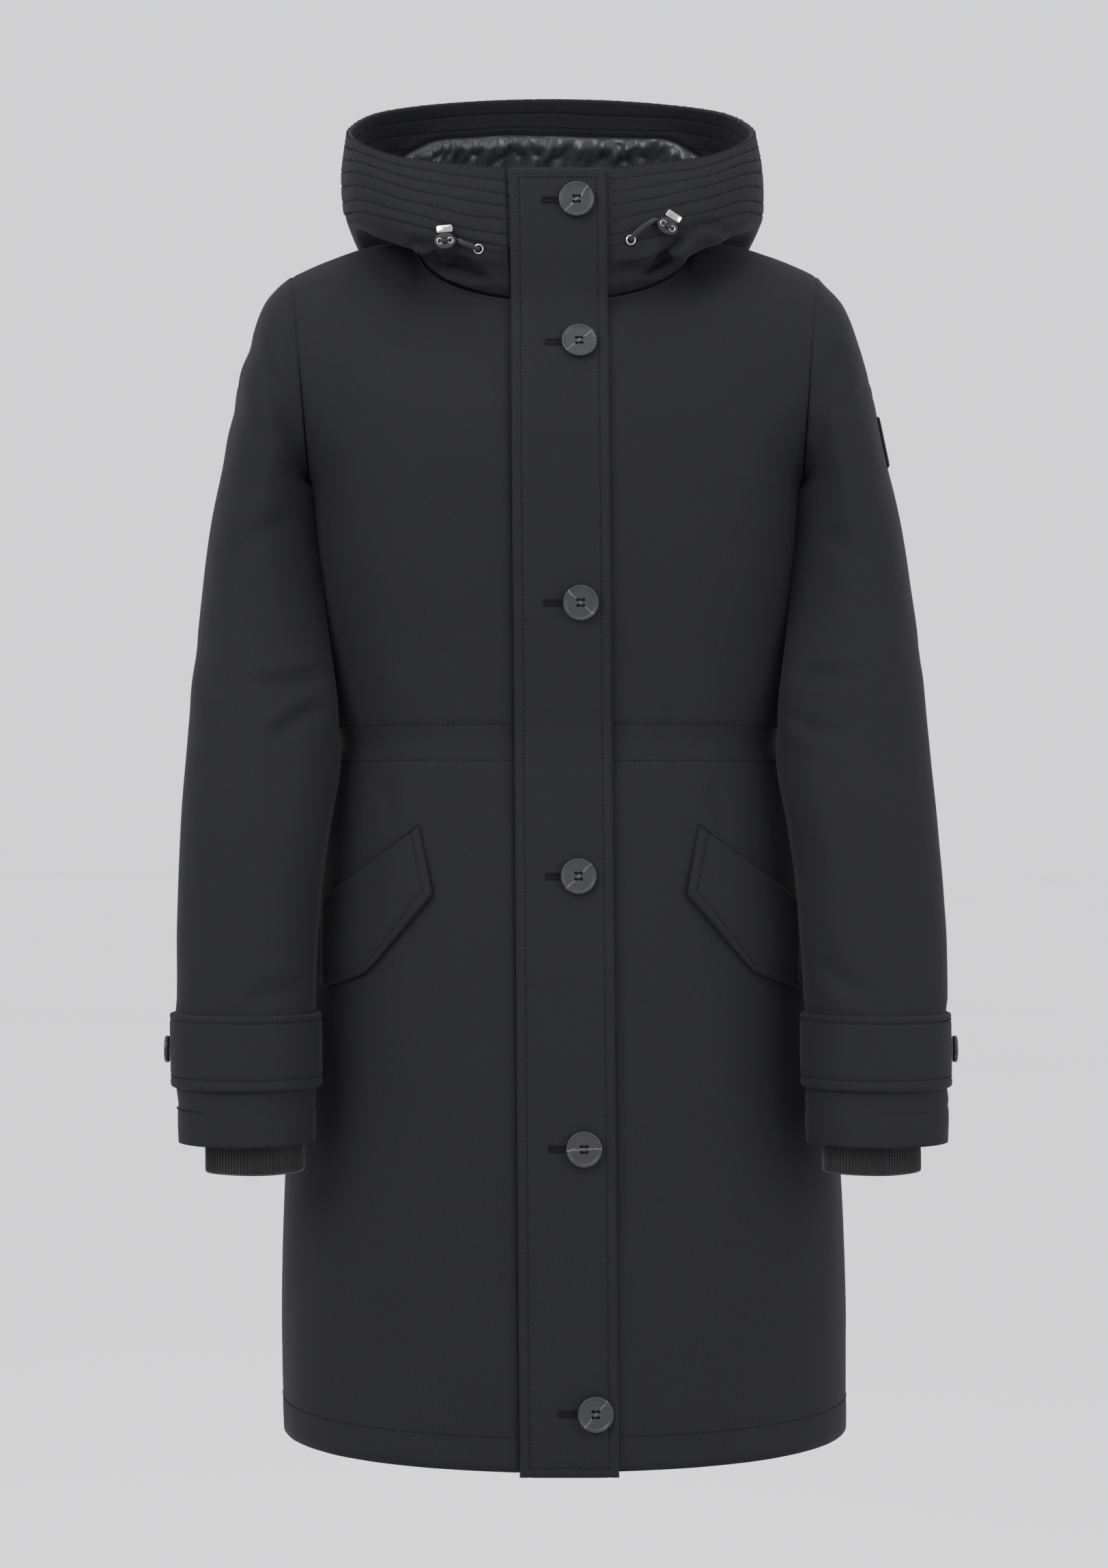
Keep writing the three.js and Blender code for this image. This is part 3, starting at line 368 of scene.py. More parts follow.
def edge_fade(grid, reach, sides="lrbt"):
    """0 at the chosen edges of a panel and 1 from reach mm inside them."""
    s, t = cloth_distances(grid)
    near = np.full(s.shape, 1e6)
    if "l" in sides:
        near = np.minimum(near, s)
    if "r" in sides:
        near = np.minimum(near, s[:, -1:] - s)
    if "b" in sides:
        near = np.minimum(near, t)
    if "t" in sides:
        near = np.minimum(near, t[-1:] - t)
    return smooth_step(near / reach)


def mesh_object(name, vertices_mm, faces, materials, uvs=None):
    """A smooth mesh in the scene, from points in mm."""
    mesh = bpy.data.meshes.new(name)
    mesh.from_pydata((np.asarray(vertices_mm) * MM).tolist(), [], faces)
    mesh.update()
    if uvs is not None:
        layer = mesh.uv_layers.new(name="cloth")
        loops = np.zeros(len(mesh.loops), dtype=np.int32)
        mesh.loops.foreach_get("vertex_index", loops)
        layer.data.foreach_set("uv", (np.asarray(uvs)[loops] * MM).ravel())
    for material in materials:
        mesh.materials.append(material)
    mesh.polygons.foreach_set("use_smooth", [True] * len(mesh.polygons))
    thing = bpy.data.objects.new("finished_" + name, mesh)
    bpy.context.scene.collection.objects.link(thing)
    return thing


def wall_object(name, outer, inner, materials, closed=False, inside_slot=0):
    """A closed wall between two grids. Faces of the inner grid take the material inside_slot."""
    rows, width = outer.shape[:2]
    s, t = cloth_distances(outer)
    uvs = np.tile(np.stack([s, t], -1).reshape(-1, 2), (2, 1))
    number = np.arange(rows * width).reshape(rows, width)
    other = number + rows * width
    if closed:
        number = np.concatenate([number, number[:, :1]], axis=1)
        other = np.concatenate([other, other[:, :1]], axis=1)

    def quads(a, b, c, d):
        return np.stack([a.ravel(), b.ravel(), c.ravel(), d.ravel()], -1)

    n, o = number, other
    outside = quads(n[:-1, :-1], n[:-1, 1:], n[1:, 1:], n[1:, :-1])
    inside = quads(o[:-1, :-1], o[1:, :-1], o[1:, 1:], o[:-1, 1:])
    rims = [quads(n[0, 1:], n[0, :-1], o[0, :-1], o[0, 1:]),
            quads(n[-1, :-1], n[-1, 1:], o[-1, 1:], o[-1, :-1])]
    if not closed:
        rims += [quads(n[:-1, 0], n[1:, 0], o[1:, 0], o[:-1, 0]),
                 quads(n[1:, -1], n[:-1, -1], o[:-1, -1], o[1:, -1])]
    rims = np.vstack(rims)
    faces = np.vstack([outside, inside, rims])
    points = np.vstack([outer.reshape(-1, 3), inner.reshape(-1, 3)])
    thing = mesh_object(name, points, faces.tolist(), materials, uvs)
    slots = np.zeros(len(faces), dtype=np.int32)
    slots[len(outside):len(outside) + len(inside)] = inside_slot
    thing.data.polygons.foreach_set("material_index", slots)
    return thing


def clothe(thing, *nodes, slot, flat=None, area=None, held="hung"):
    """Rides a finished piece on the coat and hides the imported pieces that it stands for. slot, flat, area
    and held are not used.
    """
    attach(thing, "root")
    if nodes:
        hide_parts(*nodes)
    print(thing.name, len(thing.data.polygons), "faces")


def area_of(grid):
    """Area of a grid in square metres."""
    a, b, c, d = grid[:-1, :-1], grid[:-1, 1:], grid[1:, 1:], grid[1:, :-1]
    return 0.5 * np.linalg.norm(np.cross(c - a, d - b), axis=-1).sum() * 1e-6


def tell_size(name, grid):
    """Prints the area of a grid, its widest row and its longest column."""
    widest = np.linalg.norm(np.diff(grid, axis=1), axis=-1).sum(1).max()
    longest = np.linalg.norm(np.diff(grid, axis=0), axis=-1).sum(0).max()
    print(f"{name}: {area_of(grid):.4f} square metres, widest {widest:.0f} mm, longest {longest:.0f} mm")


# %% [markdown]
# Finishes. The shell is a dense matt twill: nearly black, with a faint blue cast, a soft
# sheen at glancing angles, fine diagonal weave and tiny slubs. One node group makes the
# weave from the cloth's own UV map, so it follows each panel, and one makes soft mottling.

# %% Shader groups
def new_group(name, inputs, outputs):
    """An empty shader group with its sockets, and its input and output nodes."""
    group = bpy.data.node_groups.new(name, "ShaderNodeTree")
    for label, kind, value in inputs:
        socket = group.interface.new_socket(name=label, in_out="INPUT", socket_type=kind)
        if value is not None:
            socket.default_value = value
    for label, kind in outputs:
        group.interface.new_socket(name=label, in_out="OUTPUT", socket_type=kind)
    return group, group.nodes.new("NodeGroupInput"), group.nodes.new("NodeGroupOutput")


def node(tree, kind, **settings):
    made = tree.nodes.new(kind)
    for key, value in settings.items():
        setattr(made, key, value)
    return made


def math_node(tree, operation, a, b=None, c=None):
    """A maths node; each value is a number or another node's output."""
    made = node(tree, "ShaderNodeMath", operation=operation)
    for i, value in enumerate((a, b, c)):
        if value is None:
            continue
        if isinstance(value, (int, float)):
            made.inputs[i].default_value = value
        else:
            tree.links.new(value, made.inputs[i])
    return made.outputs[0]


FLOAT, VECTOR = "NodeSocketFloat", "NodeSocketVector"

# Diagonal twill lines crossed with yarns, as a height from 0 to 1
twill_group, twill_in, twill_out = new_group(
    "twill weave", [("Place", VECTOR, None), ("Yarn", FLOAT, 0.0008), ("Slubs", FLOAT, 0.5)],
    [("Height", FLOAT), ("Tone", FLOAT)])
t = twill_group
spread = node(t, "ShaderNodeSeparateXYZ")
t.links.new(twill_in.outputs["Place"], spread.inputs[0])
turns = math_node(t, "DIVIDE", 2 * math.pi, twill_in.outputs["Yarn"])
half_turns = math_node(t, "MULTIPLY", turns, 0.5)
warp = math_node(t, "SINE", math_node(t, "MULTIPLY", spread.outputs[0], turns))
diagonal = math_node(t, "ADD", spread.outputs[0], spread.outputs[1])
ridge = math_node(t, "SINE", math_node(t, "MULTIPLY", diagonal, half_turns))
crossed = math_node(t, "ADD", math_node(t, "MULTIPLY", warp, 0.4), ridge)
woven = math_node(t, "MULTIPLY_ADD", crossed, 0.3, 0.5)
stretched = node(t, "ShaderNodeMapping")
stretched.inputs["Scale"].default_value = (900, 120, 1)
t.links.new(twill_in.outputs["Place"], stretched.inputs["Vector"])
slub_noise = node(t, "ShaderNodeTexNoise")
slub_noise.inputs["Scale"].default_value = 1.0
slub_noise.inputs["Detail"].default_value = 3.0
t.links.new(stretched.outputs[0], slub_noise.inputs["Vector"])
slubs = math_node(t, "MULTIPLY", slub_noise.outputs["Fac"], twill_in.outputs["Slubs"])
t.links.new(math_node(t, "ADD", woven, slubs), twill_out.inputs["Height"])
t.links.new(slub_noise.outputs["Fac"], twill_out.inputs["Tone"])

# Mottling: a soft mask from 0 to 1 that follows the object
mottle_group, mottle_in, mottle_out = new_group(
    "soft mottling", [("Size", FLOAT, 0.05), ("Detail", FLOAT, 4.0)], [("Mask", FLOAT)])
t = mottle_group
where = node(t, "ShaderNodeTexCoord")
cloud = node(t, "ShaderNodeTexNoise")
t.links.new(where.outputs["Object"], cloud.inputs["Vector"])
t.links.new(math_node(t, "DIVIDE", 1.0, mottle_in.outputs["Size"]), cloud.inputs["Scale"])
t.links.new(mottle_in.outputs["Detail"], cloud.inputs["Detail"])
t.links.new(cloud.outputs["Fac"], mottle_out.inputs["Mask"])
print("shader groups:", twill_group.name, "and", mottle_group.name)


def grouped(tree, group, **values):
    """A group node with its numbers set."""
    made = node(tree, "ShaderNodeGroup")
    made.node_tree = group
    for label, value in values.items():
        made.inputs[label].default_value = value
    return made


def blend_colours(tree, mask, dark, light):
    """A colour between dark and light, by a mask."""
    mix = node(tree, "ShaderNodeMix", data_type="RGBA")
    tree.links.new(mask, mix.inputs[0])
    mix.inputs[6].default_value = (*dark, 1)
    mix.inputs[7].default_value = (*light, 1)
    return mix.outputs[2]


def new_material(name, roughness, metallic=0.0, sheen=0.0, sheen_roughness=0.5, specular=0.5):
    material = bpy.data.materials.new(name)
    material.use_nodes = True
    tree = material.node_tree
    shader = tree.nodes["Principled BSDF"]
    shader.inputs["Roughness"].default_value = roughness
    shader.inputs["Metallic"].default_value = metallic
    shader.inputs["Sheen Weight"].default_value = sheen
    shader.inputs["Sheen Roughness"].default_value = sheen_roughness
    shader.inputs["Specular IOR Level"].default_value = specular
    return material, tree, shader


def add_bump(tree, shader, height, distance, strength=1.0):
    """Raises a surface by a height from 0 to 1, distance metres in all."""
    bump = node(tree, "ShaderNodeBump")
    bump.inputs["Distance"].default_value = distance
    bump.inputs["Strength"].default_value = strength
    tree.links.new(height, bump.inputs["Height"])
    tree.links.new(bump.outputs[0], shader.inputs["Normal"])


def vary_roughness(tree, shader, mask, low, high):
    """Lets a mask run the roughness from low to high."""
    span = node(tree, "ShaderNodeMapRange")
    tree.links.new(mask, span.inputs["Value"])
    span.inputs["To Min"].default_value = low
    span.inputs["To Max"].default_value = high
    tree.links.new(span.outputs[0], shader.inputs["Roughness"])


# %% [markdown]
# Four cloths and a thread come from those helpers: the shell, its plainer inside, the nylon
# lining with a low gloss, and the woolly rib knit. Each blends two close tones by a soft mask
# and carries a little bump, because real cloth is never one flat colour.

# %% Cloth materials
def twill_material(name, dark, light, yarn, bump):
    material, tree, shader = new_material(name, 0.85, sheen=0.05, sheen_roughness=0.4, specular=0.22)
    place = node(tree, "ShaderNodeUVMap", uv_map="cloth")
    weave = grouped(tree, twill_group, Yarn=yarn, Slubs=0.7)
    tree.links.new(place.outputs[0], weave.inputs["Place"])
    clouds = grouped(tree, mottle_group, Size=0.07, Detail=5.0)
    tone = math_node(tree, "MULTIPLY_ADD", clouds.outputs["Mask"], 0.5,
                     math_node(tree, "MULTIPLY", weave.outputs["Tone"], 0.5))
    tree.links.new(blend_colours(tree, tone, dark, light), shader.inputs["Base Color"])
    vary_roughness(tree, shader, clouds.outputs["Mask"], 0.7, 0.88)
    add_bump(tree, shader, weave.outputs["Height"], bump, 0.6)
    return material


def mottled_material(name, roughness, dark, light, size, detail, bump, span=None, **finish):
    """A material whose colour, bump and, with a span, roughness follow one soft mask."""
    material, tree, shader = new_material(name, roughness, **finish)
    mask = grouped(tree, mottle_group, Size=size, Detail=detail).outputs["Mask"]
    tree.links.new(blend_colours(tree, mask, dark, light), shader.inputs["Base Color"])
    if span:
        vary_roughness(tree, shader, mask, *span)
    add_bump(tree, shader, mask, *bump)
    return material


def knit_material(name, dark, light):
    material, tree, shader = new_material(name, 0.92, sheen=0.4, specular=0.2)
    place = node(tree, "ShaderNodeUVMap", uv_map="cloth")
    weave = grouped(tree, twill_group, Yarn=0.0012, Slubs=0.8)
    tree.links.new(place.outputs[0], weave.inputs["Place"])
    tree.links.new(blend_colours(tree, weave.outputs["Tone"], dark, light), shader.inputs["Base Color"])
    add_bump(tree, shader, weave.outputs["Height"], 0.0003, 0.8)
    return material


SHELL = twill_material(
    "shell twill", (0.0068, 0.0071, 0.0093), (0.0180, 0.0185, 0.0228), yarn=0.0011, bump=0.00016)
SHELL_INSIDE = twill_material(
    "shell inside", (0.006, 0.006, 0.008), (0.012, 0.012, 0.014), yarn=0.0011, bump=0.0001)
LINING = mottled_material(
    "nylon lining", 0.34, (0.030, 0.031, 0.036), (0.048, 0.050, 0.058), size=0.03, detail=3.0,
    bump=(0.0004, 0.3), span=(0.28, 0.4), sheen=0.05, specular=0.6)
KNIT = knit_material("rib knit", (0.006, 0.006, 0.007), (0.017, 0.017, 0.019))
THREAD = mottled_material(
    "sewing thread", 0.8, (0.004, 0.004, 0.005), (0.011, 0.011, 0.013), size=0.004, detail=2.0,
    bump=(0.0001, 0.4), sheen=0.02, specular=0.15)
print("cloth materials:", SHELL.name, SHELL_INSIDE.name, LINING.name, KNIT.name, THREAD.name)

# %% [markdown]
# Creases are placed one by one, as soft troughs with a low ridge beside them. Each row of the
# table names its ends as x and z, how deep and how wide it is, and whether it lies on the
# front or the back. The hidden side gets similar ones.

# %% Creases
CREASES = [
    # facing, x1, z1, x2, z2, depth, width
    ("hood", -102, -12, -84, -28, 5.5, 4.2), ("hood", -88, -28, -46, -37, 8.5, 4.0),
    ("hood", 66, -36, 94, -12, 8.0, 4.0), ("hood", 94, -10, 120, 3, 3.5, 4.2),
    ("hood", -80, 38, -55, -2, 1.2, 6), ("hood", 84, 30, 70, 0, 0.9, 6),
    ("front", -226, -78, -182, -158, 2.6, 8), ("front", -236, -120, -204, -165, 1.2, 9),
    ("front", 184, -132, 212, -90, 2.8, 8), ("front", 190, -140, 232, -112, 2.0, 7),
    ("front", -186, -215, -232, -232, 2.2, 9), ("front", 188, -222, 236, -246, 2.0, 9),
    ("front", -164, -322, -216, -334, 4.6, 6), ("front", -166, -348, -204, -368, 4.0, 5.5),
    ("front", 164, -330, 226, -320, 4.6, 6), ("front", 166, -352, 208, -372, 3.6, 5.5),
    ("front", -168, -545, -215, -556, 2.0, 7), ("front", 176, -530, 222, -552, 2.2, 7),
    ("front", -262, -300, -236, -338, 1.6, 9), ("front", 264, -300, 238, -345, 1.6, 9),
    ("back", -228, -80, -188, -155, 4.0, 9), ("back", 188, -150, 230, -84, 4.0, 9),
    ("back", -190, -310, -250, -322, 2.6, 8), ("back", 190, -318, 252, -306, 2.6, 8),
    ("back", -196, -352, -240, -372, 2.0, 8), ("back", 198, -350, 244, -376, 2.0, 8),
    ("back", -60, -330, -95, -250, 1.6, 14), ("back", 54, -325, 100, -240, 1.6, 14),
    ("back", -150, -170, -182, -120, 2.4, 10), ("back", 150, -168, 183, -118, 2.4, 10),
    ("front", -168, -190, -140, -235, 1.4, 12), ("front", 168, -190, 142, -240, 1.4, 12),
    ("front", -62, -402, -56, -448, 1.5, 6), ("front", -66, -350, -74, -300, 1.1, 8),
    ("front", -122, -400, -118, -436, 1.3, 7), ("front", -134, -350, -146, -296, 1.3, 9),
    ("front", 70, -400, 76, -450, 1.4, 7), ("front", 60, -350, 54, -306, 1.1, 7),
    ("front", 116, -402, 124, -440, 1.3, 7), ("front", 138, -350, 152, -290, 1.4, 9),
    ("front", -92, -520, -104, -600, 1.0, 14), ("front", 96, -530, 108, -610, 1.0, 14),
    ("back", -80, -402, -86, -452, 1.5, 8), ("back", 30, -400, 26, -446, 1.4, 8),
    ("back", 110, -402, 118, -450, 1.5, 8), ("back", -30, -350, -24, -300, 1.2, 9),
]


def crease_depth(grid, on_hood=False):
    """How far every point of a grid moves out, from the creases on its own side."""
    lip = 0.6 if on_hood else 0.45
    moved = np.zeros(grid.shape[:2])
    for facing, x1, z1, x2, z2, depth, width in CREASES:
        if (facing == "hood") != on_hood:
            continue
        line = np.array([x2 - x1, z2 - z1], dtype=float)
        length = np.hypot(*line)
        offset = grid[..., [0, 2]] - [x1, z1]
        along = (offset @ line) / length**2
        across = (offset[..., 0] * line[1] - offset[..., 1] * line[0]) / length
        across = across + 2.5 * np.sin(along * 5 + x1)
        ends = smooth_step((along + 0.15) / 0.4) * smooth_step((1.15 - along) / 0.4)
        raised = lip * np.exp(-((across - 1.9 * width) / (1.2 * width)) ** 2)
        shape = raised - np.exp(-(across / width) ** 2)
        own_side = grid[..., 1] >= 0 if facing == "back" else grid[..., 1] < 0
        moved += np.where(own_side, depth * ends * shape, 0)
    return moved


TOUCH_TOP, TOUCH_BOTTOM = -165, -470


def calm_where_touching(grid, moved, facing_in):
    """Keeps sleeve and body from pushing into each other where they rest together."""
    z = grid[..., 2]
    heights = smooth_step((TOUCH_TOP - z) / 20) * smooth_step((z - TOUCH_BOTTOM) / 40)
    touching = heights * facing_in
    return moved * (1 - touching) - 0.25 * touching


def padded_softness(grid, seed):
    """The slight unevenness of padded cloth, in mm."""
    flat = grid * [1, 1, 0.6]
    return (1.6 * soft_noise(flat, 160, seed + 3) + 1.4 * soft_noise(flat, 85, seed)
            + 0.6 * soft_noise(flat, 38, seed + 1) + 0.2 * soft_noise(flat, 14, seed + 2))


print("creases placed by hand:", len(CREASES))

# %% [markdown]
# The body: two fronts and one back. A drawstring channel is stitched round the waist, and
# the cloth puckers along both rows of stitches and gathers softly above and below them.

# %% Body panels
def waist_gathers(grid, seed):
    """Stitched troughs, small upright puckers between them and soft gathers beyond."""
    z = grid[..., 2]
    s = np.cumsum(np.linalg.norm(np.diff(grid, axis=1, prepend=grid[:, :1]), axis=-1), axis=1)
    s = s[np.argmin(np.abs(z[:, 0] - WAIST_TOP))][None, :] + 0 * z
    troughs = sum(np.exp(-((z - level) / 1.6) ** 2) for level in (WAIST_TOP, WAIST_BOTTOM))
    inside = np.exp(-((z - (WAIST_TOP + WAIST_BOTTOM) / 2) / 9) ** 2)
    puckers = uneven(s, 13, seed) * 0.75
    distance = np.maximum(z - WAIST_TOP, WAIST_BOTTOM - z)
    beyond = np.exp(-np.clip(distance, 0, None) / 26) * (distance > 0)
    near = np.exp(-np.clip(distance, 0, None) / 7) * (distance > 0)
    strength = 0.55 + 0.45 * uneven(s, 120, seed + 5)
    return (-0.6 * troughs + inside * (0.2 + 0.5 * puckers) + near * puckers * 0.9
            + beyond * strength * 1.1 * uneven(s, 34, seed + 1))


def finish_panel(grid, seed, edges):
    """Moves a panel's points out by its folds, and turns its sewn edges in."""
    normals = grid_normals(grid)
    open_middle = edge_fade(grid, 16, edges)
    moved = padded_softness(grid, seed) * open_middle + crease_depth(grid) * edge_fade(grid, 5, edges)
    moved = moved + waist_gathers(grid, seed + 20) * (0.25 + 0.75 * edge_fade(grid, 6, edges))
    hem_height = grid[..., 2].min(axis=0)[None, :] + HEM_STITCH
    moved = moved - 0.8 * np.exp(-((grid[..., 2] - hem_height) / 1.8) ** 2)
    moved = moved + 0.35 * np.exp(-((grid[..., 2] - hem_height + 12) / 9) ** 2)
    moved = moved - 0.85 * (1 - edge_fade(grid, 3.5, edges))
    beside_sleeve = smooth_step((np.abs(grid[..., 0] - lean(grid[..., 2])) - 118) / 26)
    moved = calm_where_touching(grid, moved, beside_sleeve)
    within = grid + normals * (np.minimum(moved, 0) - CLOTH)[..., None]
    return grid + normals * moved[..., None], within


def panel(name, grid, seed, edges, **cut):
    """One body panel: shell cloth outside, plainer cloth inside."""
    outer, inner = finish_panel(grid, seed, edges)
    thing = wall_object(name, outer, inner, [SHELL, SHELL_INSIDE], inside_slot=1)
    clothe(thing, name, slot="shell_fabric", **cut)
    return outer


FINE = 1
# share of each top edge that lies on the neckline
LEFT_NECK, RIGHT_NECK, BACK_NECK = 7 / 12, 5 / 10, 6 / 11
panel_heights = np.concatenate([
    np.arange(-880, -420, 6.0 * FINE), np.arange(-420, -396, 3.0), np.arange(-396, -352, 1.5),
    np.arange(-352, -300, 3.0), np.arange(-300, -187, 5.0 * FINE), [UNDERARM_HEIGHT],
])
armhole_shares = np.linspace(0, 1, 40 // FINE)[1:]


def columns(count):
    """Column places with a few close ones at both ends, for the rounded seams."""
    middle = np.linspace(0, 1, count // FINE)
    close = np.array([0.25, 0.55]) / (count // FINE - 1)
    return np.unique(np.concatenate([middle, close, 1 - close]))


def eased(grid, height=UNDERARM_HEIGHT, reach=75.0, passes=140):
    """Softens the ledge below the armhole. The panel's own edges stay where they are."""
    share = (np.exp(-((grid[..., 2] - height) / reach) ** 2) * edge_fade(grid, 8))[..., None]
    soft = grid.copy()
    for k in range(2 * passes):
        around = np.zeros_like(soft)
        beside = soft[:-2, 1:-1] + soft[2:, 1:-1] + soft[1:-1, :-2] + soft[1:-1, 2:]
        around[1:-1, 1:-1] = beside / 4 - soft[1:-1, 1:-1]
        soft = soft + (0.5 if k % 2 == 0 else -0.515) * around * share
    return soft


front_u = columns(62)
rows_of = (panel_heights, armhole_shares)
left_grid = body_grid("front", 1, UNDERLAP, LEFT_NECK, *rows_of, front_u)
right_grid = body_grid("front", -1, -PLACKET_LEFT, RIGHT_NECK, *rows_of, front_u)[:, ::-1]
back_u = columns(54)
back_left = body_grid("back", 1, 0.0, BACK_NECK, *rows_of, back_u)
back_right = body_grid("back", -1, 0.0, BACK_NECK, *rows_of, back_u)
back_grid = np.concatenate([back_left[:, ::-1], back_right[:, 1:]], axis=1)
left_grid, right_grid, back_grid = eased(left_grid), eased(right_grid), eased(back_grid)
for label, grid in (("left front", left_grid), ("right front", right_grid), ("back", back_grid)):
    tell_size(label, grid)

left_skin = panel("front_left", left_grid, 11, "rt", flat=(0.32, 0.942), area=0.246)
right_skin = panel("front_right", right_grid, 31, "lrt", flat=(0.26, 0.941), area=0.196)
back_skin = panel("back", back_grid, 51, "lrt", flat=(0.572, 0.942), area=0.446)

# %% [markdown]
# The sleeves hang forward a little and hold the crease of a bent elbow. Their tube starts on
# the armhole ring, so the seam lies where the body's edge turns in. The side that rests
# against the body is pressed toward it, and the cloth lies flat under strap and patch.

# %% Sleeves
ARMHOLE_ROUND = 480
HUG_TURN, HUG_SPREAD, HUG_TOP, HUG_BOTTOM, HUG = 0.425, 0.065, -176, -385, 9.0


def make_sleeve(name, side, seed):
    """A sleeve with its seam eased in, creases, hem stitches and the pressed inner side."""
    places = np.concatenate([[0, 0.04, 0.1], np.linspace(0.2, 13, 148 // FINE)])
    turns = np.linspace(0, 1, 96 // FINE, endpoint=False)
    own_turns = turns if side > 0 else turns[::-1]
    grid = sleeve_point(side, places[:, None], own_turns[None, :])
    z = grid[..., 2]
    across = np.roll(grid, -1, axis=1) - np.roll(grid, 1, axis=1)
    down = np.gradient(grid, axis=0)
    normals = np.cross(across, down)
    normals /= np.maximum(np.linalg.norm(normals, axis=-1, keepdims=True), 1e-9)
    faces_out = side * normals[..., 0]
    from_seam = smooth_step(places / 0.5)[:, None]
    moved = padded_softness(grid, seed) * from_seam
    sided = np.where(grid[..., 1:2] < sleeve_value(4, places)[:, None, None], -1.0, 1.0)
    front_or_back = grid.copy()
    front_or_back[..., 1:2] = sided
    ease = uneven(turns * ARMHOLE_ROUND, 21, seed + 3)[None, :] * np.exp(-(places / 0.45))[:, None]
    moved += 0.6 * ease - 0.8 * (1 - smooth_step(places / 0.12))[:, None]
    moved = calm_where_touching(grid, moved, smooth_step((-faces_out - 0.2) / 0.4))
    moved += 1.1 * crease_depth(front_or_back) * from_seam * smooth_step((faces_out + 0.93) / 0.25)
    patch_here = np.exp(-(((z - PATCH_MIDDLE) / 24) ** 6)) * smooth_step(faces_out * 6 - 4.2)
    strap_here = smooth_step((STRAP_TOP + 8 - z) / 6) * smooth_step((z - STRAP_BOTTOM + 8) / 6)
    moved *= (1 - strap_here) * (1 - patch_here * (side > 0))
    hem = SLEEVE[-1, 2] + SLEEVE_HEM_STITCH
    moved -= 0.9 * np.exp(-((z - hem) / 1.7) ** 2)
    moved += 0.35 * np.exp(-((z - hem + 13) / 9) ** 2)
    outer = grid + normals * moved[..., None]
    inner = grid + normals * (np.minimum(moved, 0) - CLOTH)[..., None]
    hug = np.exp(-((own_turns - HUG_TURN) / HUG_SPREAD) ** 2)[None, :]
    hug = hug * from_seam * smooth_step((HUG_TOP - z) / 16) * smooth_step((z - HUG_BOTTOM) / 50)
    outer[..., 0] -= side * HUG * hug
    inner[..., 0] -= side * HUG * hug
    thing = wall_object(name, outer, inner, [SHELL, SHELL_INSIDE], closed=True, inside_slot=1)
    clothe(thing, name, slot="shell_fabric", flat=(0.479, 0.663), area=0.191)
    tell_size(name, grid)


make_sleeve("sleeve_left", 1, 71)
make_sleeve("sleeve_right", -1, 91)

# %% [markdown]
# The hood lies back, open like a funnel. Six stitched channels run round its rim, filled so
# that they stand up, and the cloth puckers across every row of stitches.

# %% Hood
SWEEP_START = neck_start(UNDERLAP)
SWEEP_END = 360 - neck_start(-PLACKET_LEFT)
CHANNEL_ROWS = 12 if FINE == 1 else 6
# degrees round the hood between which the placket covers it
COVERED_FROM, COVERED_TO = -16, 22


def signed(turns):
    """Turns from 0 to 360 degrees as turns from -180 to 180."""
    return np.where(turns > 180, turns - 360, turns)


def lining_edge(turns):
    """Where the lining meets the quilted facing: high at the back, low at the sides."""
    return BAND_START + 1.15 * smooth_step((np.abs(turns) - 108) / 40)


def at_places(rows, places):
    """Reads a grid of hood rows at its own place for every column."""
    found = np.zeros(places.shape + (3,))
    for c in range(places.shape[1]):
        for axis in range(3):
            found[:, c, axis] = np.interp(places[:, c], hood_places, rows[:, c, axis])
    return found


hood_turns = signed(np.linspace(SWEEP_START, SWEEP_END, 330 // FINE))
hood_places = np.concatenate([
    np.linspace(0, BAND_START, 50 // FINE, endpoint=False),
    BAND_START + np.linspace(0, RIM - BAND_START, BAND_CHANNELS * CHANNEL_ROWS + 1)])
hood_grid = np.array([hood_point(hood_turns, w) for w in hood_places])
wander_fade = smooth_step((hood_places - 4.6) / 0.5) * smooth_step((RIM - hood_places) / 0.35)
wander = 0.045 * wander_fade[:, None] * soft_noise(hood_grid * [1, 1, 1.6], 34, 207)
hood_grid = at_places(hood_grid, np.clip(hood_places[:, None] + wander, 0, RIM))
hood_normals = grid_normals(hood_grid)
hood_s, _ = cloth_distances(hood_grid)
band_share = (hood_places - BAND_START) / (RIM - BAND_START)
band_place = np.clip(band_share, 0, 1) * BAND_CHANNELS
in_band = (hood_places >= BAND_START).astype(float)[:, None]
channel = np.abs(np.sin(np.pi * band_place))[:, None] ** 0.22
rows_s = hood_s[-1][None, :] + 0 * hood_s
pucker = np.zeros(hood_grid.shape[:2])
for k in range(BAND_CHANNELS + 1):
    near_row = np.exp(-((band_place - k) / 0.22) ** 2)[:, None] * in_band
    pucker += near_row * uneven(rows_s + 9 * k, 7.5 + k % 3, 140 + k)
print("hood:", hood_grid.shape[0], "rows of", hood_grid.shape[1], "points,", BAND_CHANNELS, "channels")

# %% [markdown]
# The outside moves out by the quilting, the puckers and the soft unevenness of the cloth. The
# inside gets shallower quilting, a groove where the lining is sewn on, and the same deep
# creases, so the wall keeps its thickness everywhere.

